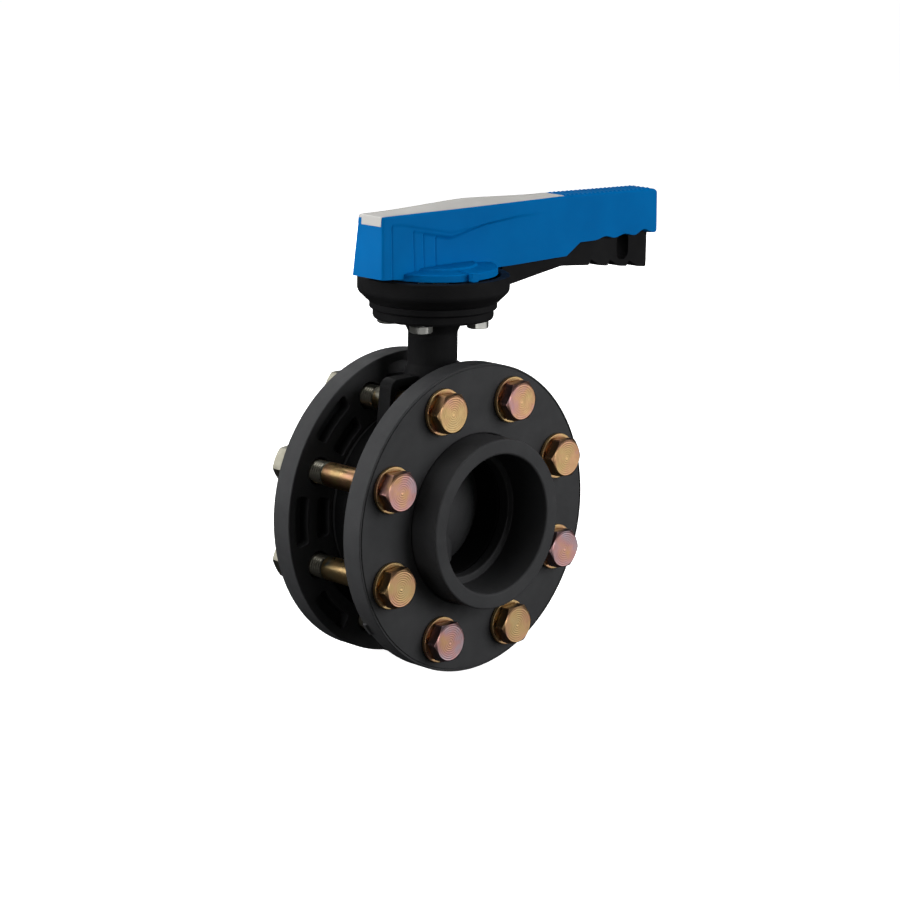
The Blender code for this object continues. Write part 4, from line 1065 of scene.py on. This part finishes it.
def crease(x):
    """Height of the fold in the lever's side: down from the head, then slowly up along the grip."""
    if x < CREASE_LOW_X:
        return mix(CREASE_HEAD, CREASE_LOW, clamped((x - CREASE_START_X) / (CREASE_LOW_X - CREASE_START_X)))
    return min(CREASE_LOW + CREASE_SLOPE * (x - CREASE_LOW_X), CREASE_HIGH)


def recess(x, z):
    """How deep the nested panels cut into the lever's side.

    The first panel ends at the fold and the others just below it.
    """
    depth = 0.0
    fade = 1 - step(x, *PANEL_FADE_X)
    for left, drop in zip(PANEL_LEFT, PANEL_DROP):
        top = crease(x) - drop * (1 - step(x, 0, PANEL_DROP_END_X))
        below = step(top - z, -PANEL_FOLD, PANEL_FOLD)
        depth += PANEL_STEP * below * step(x, left - PANEL_EDGE, left + PANEL_EDGE) * fade
        depth += GROOVE_DEPTH * below * max(0.0, 1 - abs(x - left))
    return depth


def rounding(distance, radius):
    """How far a rounded end falls back at a distance from its face."""
    if distance >= radius:
        return 0.0
    return radius - math.sqrt(radius ** 2 - (radius - distance) ** 2)


def lever_stations():
    """Places along the lever, closer together at its ends and at the panels' edges."""
    places = {round(HEAD_X + STATION * k, 3) for k in range(int((END_X - HEAD_X) / STATION) + 1)}
    for left in PANEL_LEFT:
        places |= {left + d for d in PANEL_STATIONS}
    places |= {HEAD_X + d for d in HEAD_STATIONS}
    places |= {END_X - d for d in END_STATIONS}
    places |= {GRIP_RAMP_X, GRIP_RAMP_X + GRIP_RAMP, SCALLOP_X}
    return sorted(places)


def side_heights(x, low, high):
    """The same number of heights at every station, close together along the fold."""
    near_fold = [crease(x) - FOLD_REACH + FOLD_STEP * k for k in range(FOLD_POINTS)]
    heights = [mix(low, near_fold[0], k / LOW_POINTS) for k in range(LOW_POINTS)] + near_fold
    return heights + [mix(near_fold[-1], high, k / HIGH_POINTS) for k in range(1, HIGH_POINTS + 1)]


def lever_section(x):
    """Outer points (y, z) of the lever at a station, from the near lower edge to the far one.

    Also the number of points up to the near edge of the top.
    """
    back = rounding(min(x - HEAD_X, END_X - x), END_ROUND)
    top = TOP - GRIP_FALL * grip_share(x) - rounding(END_X - x, END_TOP_ROUND)
    top -= rounding(x - HEAD_X, HEAD_TOP_ROUND)
    low = underside(x) + rounding(END_X - x, END_LOW_ROUND)
    near = [(-(half_width(x, z) - back - recess(x, z)), z) for z in side_heights(x, low, top - TOP_EDGE)]
    wide = half_width(x, top) - back
    for k in range(1, CORNER_POINTS + 1):
        a = math.pi / 2 * k / CORNER_POINTS
        near.append((-(wide - TOP_EDGE * (1 - math.cos(a))), top - TOP_EDGE * (1 - math.sin(a))))
    flat = wide - TOP_EDGE
    across = [(mix(-flat, flat, k / TOP_POINTS), top) for k in range(1, TOP_POINTS)]
    return near + across + [(-y, z) for y, z in reversed(near)], len(near)


def end_rows(x, points, count):
    """Rows of points straight across an end of the lever."""
    rows = []
    for k in range(count):
        (y0, z0), (y1, z1) = points[k], points[-1 - k]
        shares = [j / END_POINTS for j in range(END_POINTS + 1)]
        rows.append([slanted(x, mix(y0, y1, share), mix(z0, z1, share)) for share in shares])
    return rows


def cavity_row(x, low):
    """Points across the lever's hollow at a station. The block round the stem fills its middle."""
    inside = mix(HEAD_X + CAVITY_WALL, END_X - CAVITY_WALL, (x - HEAD_X) / (END_X - HEAD_X))
    roof = TOP - CAVITY_ROOF - CAVITY_FALL * grip_share(x)
    if abs(inside) < STEM_BLOCK_HALF:
        roof = BASE + STEM_BLOCK_DEPTH
    across = ((-CAVITY_HALF, low), (-CAVITY_HALF, roof), (0, roof), (CAVITY_HALF, roof), (CAVITY_HALF, low))
    return [(inside, y, z) for y, z in across]


def lever_body():
    shape = Shape()
    stations = lever_stations()
    sections = [lever_section(x) for x in stations]
    outer = [[slanted(x, y, z) for y, z in points] for x, (points, _) in zip(stations, sections)]
    shape.grid(outer)
    for k in (0, -1):
        shape.grid(end_rows(stations[k], *sections[k]))
    inner = [cavity_row(x, points[0][1]) for x, (points, _) in zip(stations, sections)]
    shape.grid(inner)
    for row in (inner[0], inner[-1]):
        shape.cap(row)
    near_lip = [[outside[0], inside[0]] for outside, inside in zip(outer, inner)]
    far_lip = [[outside[-1], inside[-1]] for outside, inside in zip(outer, inner)]
    shape.grid(near_lip)
    shape.grid(far_lip)
    for k in (0, -1):
        shape.cap([near_lip[k][0], near_lip[k][1], far_lip[k][1], far_lip[k][0]])
    piece(shape.build("lever_shell"), BLUE, "lever", ["lever_body"], SHARP_LEVER)


def lever_skirt():
    """The disc below the lever's head that covers the notched plate, with a pointer on its rim."""
    foot = BASE - SKIRT_SUNK
    corners = [(0, foot), (SKIRT_RADIUS, foot), (SKIRT_RADIUS, SKIRT_RIM_TOP), SKIRT_TIER_FOOT,
               SKIRT_TIER_TOP, (0, SKIRT_TIER_TOP[1])]
    skirt = lathe("lever_skirt", filleted(corners, [0, 0.5, 1.0, 0.8, 0.6, 0]), STEPS_PLATE)
    piece(skirt, BLUE, "lever", [])
    corners = [(-POINTER_HALF, foot), (POINTER_HALF, foot), (POINTER_HALF, POINTER_TOP),
               (-POINTER_HALF, POINTER_TOP)]
    pointer = slab("skirt_pointer", filleted(corners, POINTER_CORNER, steps=3), POINTER_START, POINTER_END)
    soften(pointer, POINTER_EDGE)
    pointer.data.transform(Matrix.Rotation(POINTER_ANGLE, 4, "Z"))
    piece(pointer, BLUE, "lever", [])


def crown(x):
    """How far the inlay's middle rises above its edges."""
    return max(0.0, CROWN_RISE * (1 - math.hypot((x - CROWN_X) / CROWN_REACH, CROWN_BLUNT)))


def inlay_row(x, face):
    """Points across the inlay's top at a station."""
    wide = half_width(x, TOP) - INLAY_BORDER
    fall = rounding(x - face, INLAY_HEAD_ROUND) + rounding(GRIP_X - x, INLAY_EDGE_ROUND)
    row = []
    for k in range(INLAY_COLUMNS + 1):
        across = mix(-1, 1, k / INLAY_COLUMNS)
        edge = rounding(wide * (1 - abs(across)), INLAY_EDGE_ROUND)
        rise = crown(x) * (1 - abs(across) ** CROWN_POWER)
        row.append(slanted(x, wide * across, TOP + INLAY_PROUD + rise - fall - edge))
    return row


def lever_inlay():
    """The pale plate on top of the lever, raised along its middle and turned down over the head."""
    face = HEAD_X - INLAY_OVERHANG
    start, end = face + INLAY_STATIONS_X[0], GRIP_X + INLAY_STATIONS_X[1]
    stations = [face + d for d in INLAY_HEAD_STATIONS]
    stations += [mix(start, end, k / INLAY_STATIONS) for k in range(INLAY_STATIONS + 1)]
    stations += [GRIP_X + d for d in INLAY_END_STATIONS]
    top = [inlay_row(x, face) for x in stations]
    foot = [[(x, y, TOP - INLAY_THICKNESS) for x, y, _ in row] for row in top]
    inlay = sheet("inlay_plate", top, foot)
    low, high = TOP - APRON_DROP, TOP - APRON_TOP_DROP
    back = face + APRON_THICKNESS
    corners = [slanted(x, 0, z) for x, z in ((face, low), (back, low), (back, high), (face, high))]
    wide = half_width(HEAD_X, TOP) - INLAY_BORDER
    apron = slab("apron", [(x, z) for x, _, z in corners], -wide, wide - APRON_INSET)
    carve(inlay, [soften(apron, APRON_EDGE)], "UNION")
    piece(inlay, INLAY, "lever", ["lever_inlay"])


def grip_pad():
    """The cross-cut pattern on top of the grip."""
    columns = round(2 * CHECK_HALF / CHECK_PITCH)
    rows = round(CHECK_LENGTH / CHECK_PITCH)
    top = []
    for i in range(rows + 1):
        x = mix(GRIP_X + CHECK_START, END_X - CHECK_END, i / rows)
        line = []
        for j in range(columns + 1):
            rim = i in (0, rows) or j in (0, columns)
            height = CHECK_HIGH if (i + j) % 2 else CHECK_LOW
            z = TOP - GRIP_FALL * grip_share(x) + (0.0 if rim else height)
            line.append((x, mix(-CHECK_HALF, CHECK_HALF, j / columns), z))
        top.append(line)
    foot = [[(x, y, z - CHECK_THICKNESS) for x, y, z in line] for line in top]
    piece(sheet("grip_pad", top, foot), BLUE, "lever", [], SHARP_GRIP)


def trigger():
    """The blade under the grip, with finger hollows, a locking hole, a pivot boss and a latch tooth."""
    corners = [(TRIGGER_FRONT, TRIGGER_LOW), TRIGGER_KNEE]
    for i in range(FINGER_COUNT):
        for offset, rise in FINGER_PROFILE:
            x = FINGER_X + FINGER_PITCH * i + offset
            corners.append((x, FINGER_LINE_Z - FINGER_SLOPE * (x - FINGER_LINE_X) + rise))
    corners += [(TRIGGER_END, TRIGGER_LOW), (TRIGGER_END, TRIGGER_TOP), (TRIGGER_FRONT, TRIGGER_TOP)]
    radii = [1.0, 12] + [1.0, 0.8, 3.0] * FINGER_COUNT + [1.2, 0, 0]
    blade = slab("trigger_blade", filleted(corners, radii, steps=3), -TRIGGER_HALF, TRIGGER_HALF)
    boss = slab("boss", circle(PIVOT_BOSS, STEPS_BOSS, PIVOT), -TRIGGER_HALF, TRIGGER_HALF)
    tooth = slab("tooth", TOOTH_PROFILE, -TOOTH_HALF, TOOTH_HALF)
    carve(blade, [boss, tooth], "UNION")
    lock_hole = slab("hole", filleted(LOCK_HOLE, LOCK_HOLE_CORNER, steps=8), -CUT_REACH, CUT_REACH)
    pin_hole = slab("eye", circle(PIN_HOLE, STEPS_SMALL, PIVOT), -CUT_REACH, CUT_REACH)
    carve(blade, [lock_hole, pin_hole])
    soften(blade, TRIGGER_EDGE, ROUNDED_AFTER_CUTS)
    piece(blade, BLACK, "trigger", ["trigger"])


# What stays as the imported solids

KEPT = {"upper_stem_bush": BEARING, "lower_stem_bush": BEARING,
        "stem_o_ring_1": RUBBER, "stem_o_ring_2": RUBBER,
        "valve_stem": STEEL, "stem_retainer": STEEL, "lever_screw": STEEL, "lever_screw_washer": STEEL,
        "trigger_pin": STEEL, "trigger_spring": STEEL}


def kept_nodes():
    for node, material in KEPT.items():
        obj = frame["nodes"][node]
        obj.data.materials.clear()
        obj.data.materials.append(material)


# Stage


def floor():
    mesh = bpy.data.meshes.new("floor")
    size = FLOOR_HALF
    level = CAD_BOX[0].z - FLOOR_DROP
    mesh.from_pydata([(-size, -size, level), (size, -size, level), (size, size, level), (-size, size, level)],
                     [], [(0, 1, 2, 3)])
    obj = add_object("floor", mesh)
    look = Look("floor_paper", Roughness=0.9)
    look.colour(look.ramp(look.noise(3, 2), [(0.3, (0.86, 0.86, 0.86)), (0.7, (0.90, 0.90, 0.90))]))
    look.shader.inputs["Emission Color"].default_value = (1, 1, 1, 1)
    look.shader.inputs["Emission Strength"].default_value = 0.95
    mesh.materials.append(look.material)
    obj.visible_diffuse = False
    obj.visible_glossy = False
    obj.visible_shadow = False


def world():
    """A soft studio: bright overhead, dim below, and plain white behind the object."""
    made = bpy.data.worlds.new("studio")
    bpy.context.scene.world = made
    made.use_nodes = True
    nodes = made.node_tree.nodes
    link = made.node_tree.links.new
    coordinates = nodes.new("ShaderNodeTexCoord")
    split = nodes.new("ShaderNodeSeparateXYZ")
    shift = nodes.new("ShaderNodeMapRange")
    shift.inputs["From Min"].default_value = -1
    ramp = nodes.new("ShaderNodeValToRGB")
    ramp.color_ramp.elements[0].color = (0.12, 0.12, 0.12, 1)
    ramp.color_ramp.elements[1].color = (0.75, 0.75, 0.75, 1)
    background = nodes["Background"]
    background.inputs["Strength"].default_value = 0.11
    link(coordinates.outputs["Generated"], split.inputs["Vector"])
    link(split.outputs["Z"], shift.inputs["Value"])
    link(shift.outputs["Result"], ramp.inputs["Fac"])
    link(ramp.outputs["Color"], background.inputs["Color"])
    white = nodes.new("ShaderNodeBackground")
    white.inputs["Color"].default_value = (1, 1, 1, 1)
    path = nodes.new("ShaderNodeLightPath")
    choose = nodes.new("ShaderNodeMixShader")
    link(path.outputs["Is Camera Ray"], choose.inputs["Fac"])
    link(background.outputs["Background"], choose.inputs[1])
    link(white.outputs["Background"], choose.inputs[2])
    link(choose.outputs["Shader"], nodes["World Output"].inputs["Surface"])


def softbox(name, place, size, power, lights=True, mirrored=True):
    """A square of light that lights plain surfaces, shows in shiny ones, or both."""
    light = bpy.data.lights.new(name, "AREA")
    light.shape = "SQUARE"
    light.size = size
    light.energy = power
    obj = add_object(name, light)
    obj.visible_diffuse = lights
    obj.visible_glossy = mirrored
    obj.location = place
    aim = Vector(LIGHT_AIM) - Vector(place)
    obj.rotation_euler = aim.to_track_quat("-Z", "Y").to_euler()


def studio_lights():
    softbox("key_left", (-1.2, 0.9, 0.55), 1.5, 34, mirrored=False)
    softbox("left_fill", (-1.7, -0.15, 0.5), 0.8, 6, mirrored=False)
    softbox("overhead", (-0.2, 0.1, 1.6), 1.2, 8.5)
    softbox("front_fill", (0.75, -1.5, 0.5), 1.0, 26, mirrored=False)
    softbox("low_card", (1.25, -1.4, 0.1), 1.6, 8.5, lights=False)
    softbox("front_card", (-0.35, -1.8, 0.1), 0.9, 5, lights=False)
    softbox("left_card", (-0.95, 1.15, 0.7), 0.8, 3.1, lights=False)
    softbox("rear_card", (0.5, 1.6, 1.3), 1.2, 8)
    softbox("rear_fill", (1.1, 1.6, 0.4), 1.0, 12, mirrored=False)


def camera():
    a, e = CAMERA_AZIMUTH, CAMERA_ELEVATION
    back = Vector((math.sin(a) * math.cos(e), -math.cos(a) * math.cos(e), math.sin(e)))
    level = Vector((math.cos(a), math.sin(a), 0))
    upright = back.cross(level)
    right = level * math.cos(CAMERA_ROLL) + upright * math.sin(CAMERA_ROLL)
    up = upright * math.cos(CAMERA_ROLL) - level * math.sin(CAMERA_ROLL)
    place = (back * CAMERA_DISTANCE - right * CAMERA_OFFSET[0] - up * CAMERA_OFFSET[1]) * MM
    data = bpy.data.cameras.new("camera")
    data.lens = CAMERA_LENS
    data.sensor_width = CAMERA_SENSOR
    obj = add_object("camera", data)
    obj.matrix_world = Matrix.Translation(place) @ Matrix((right, up, back)).transposed().to_4x4()
    bpy.context.scene.camera = obj


def main():
    backing_ring("front_ring", "front_backing_ring", TO_FRONT, [rim_tab()])
    backing_ring("rear_ring", "rear_backing_ring", TO_REAR, [])
    stub_end("front_hub", "front_stub_end", TO_FRONT)
    stub_end("rear_hub", "rear_stub_end", TO_REAR)
    flange_fasteners()
    valve_body()
    seat_liner()
    valve_disc()
    bottom_plug()
    throttle_plate()
    throttle_bolts()
    lever_body()
    lever_skirt()
    lever_inlay()
    grip_pad()
    trigger()
    kept_nodes()
    floor()
    world()
    studio_lights()
    camera()
    bpy.context.scene.view_settings.view_transform = "Standard"


main()
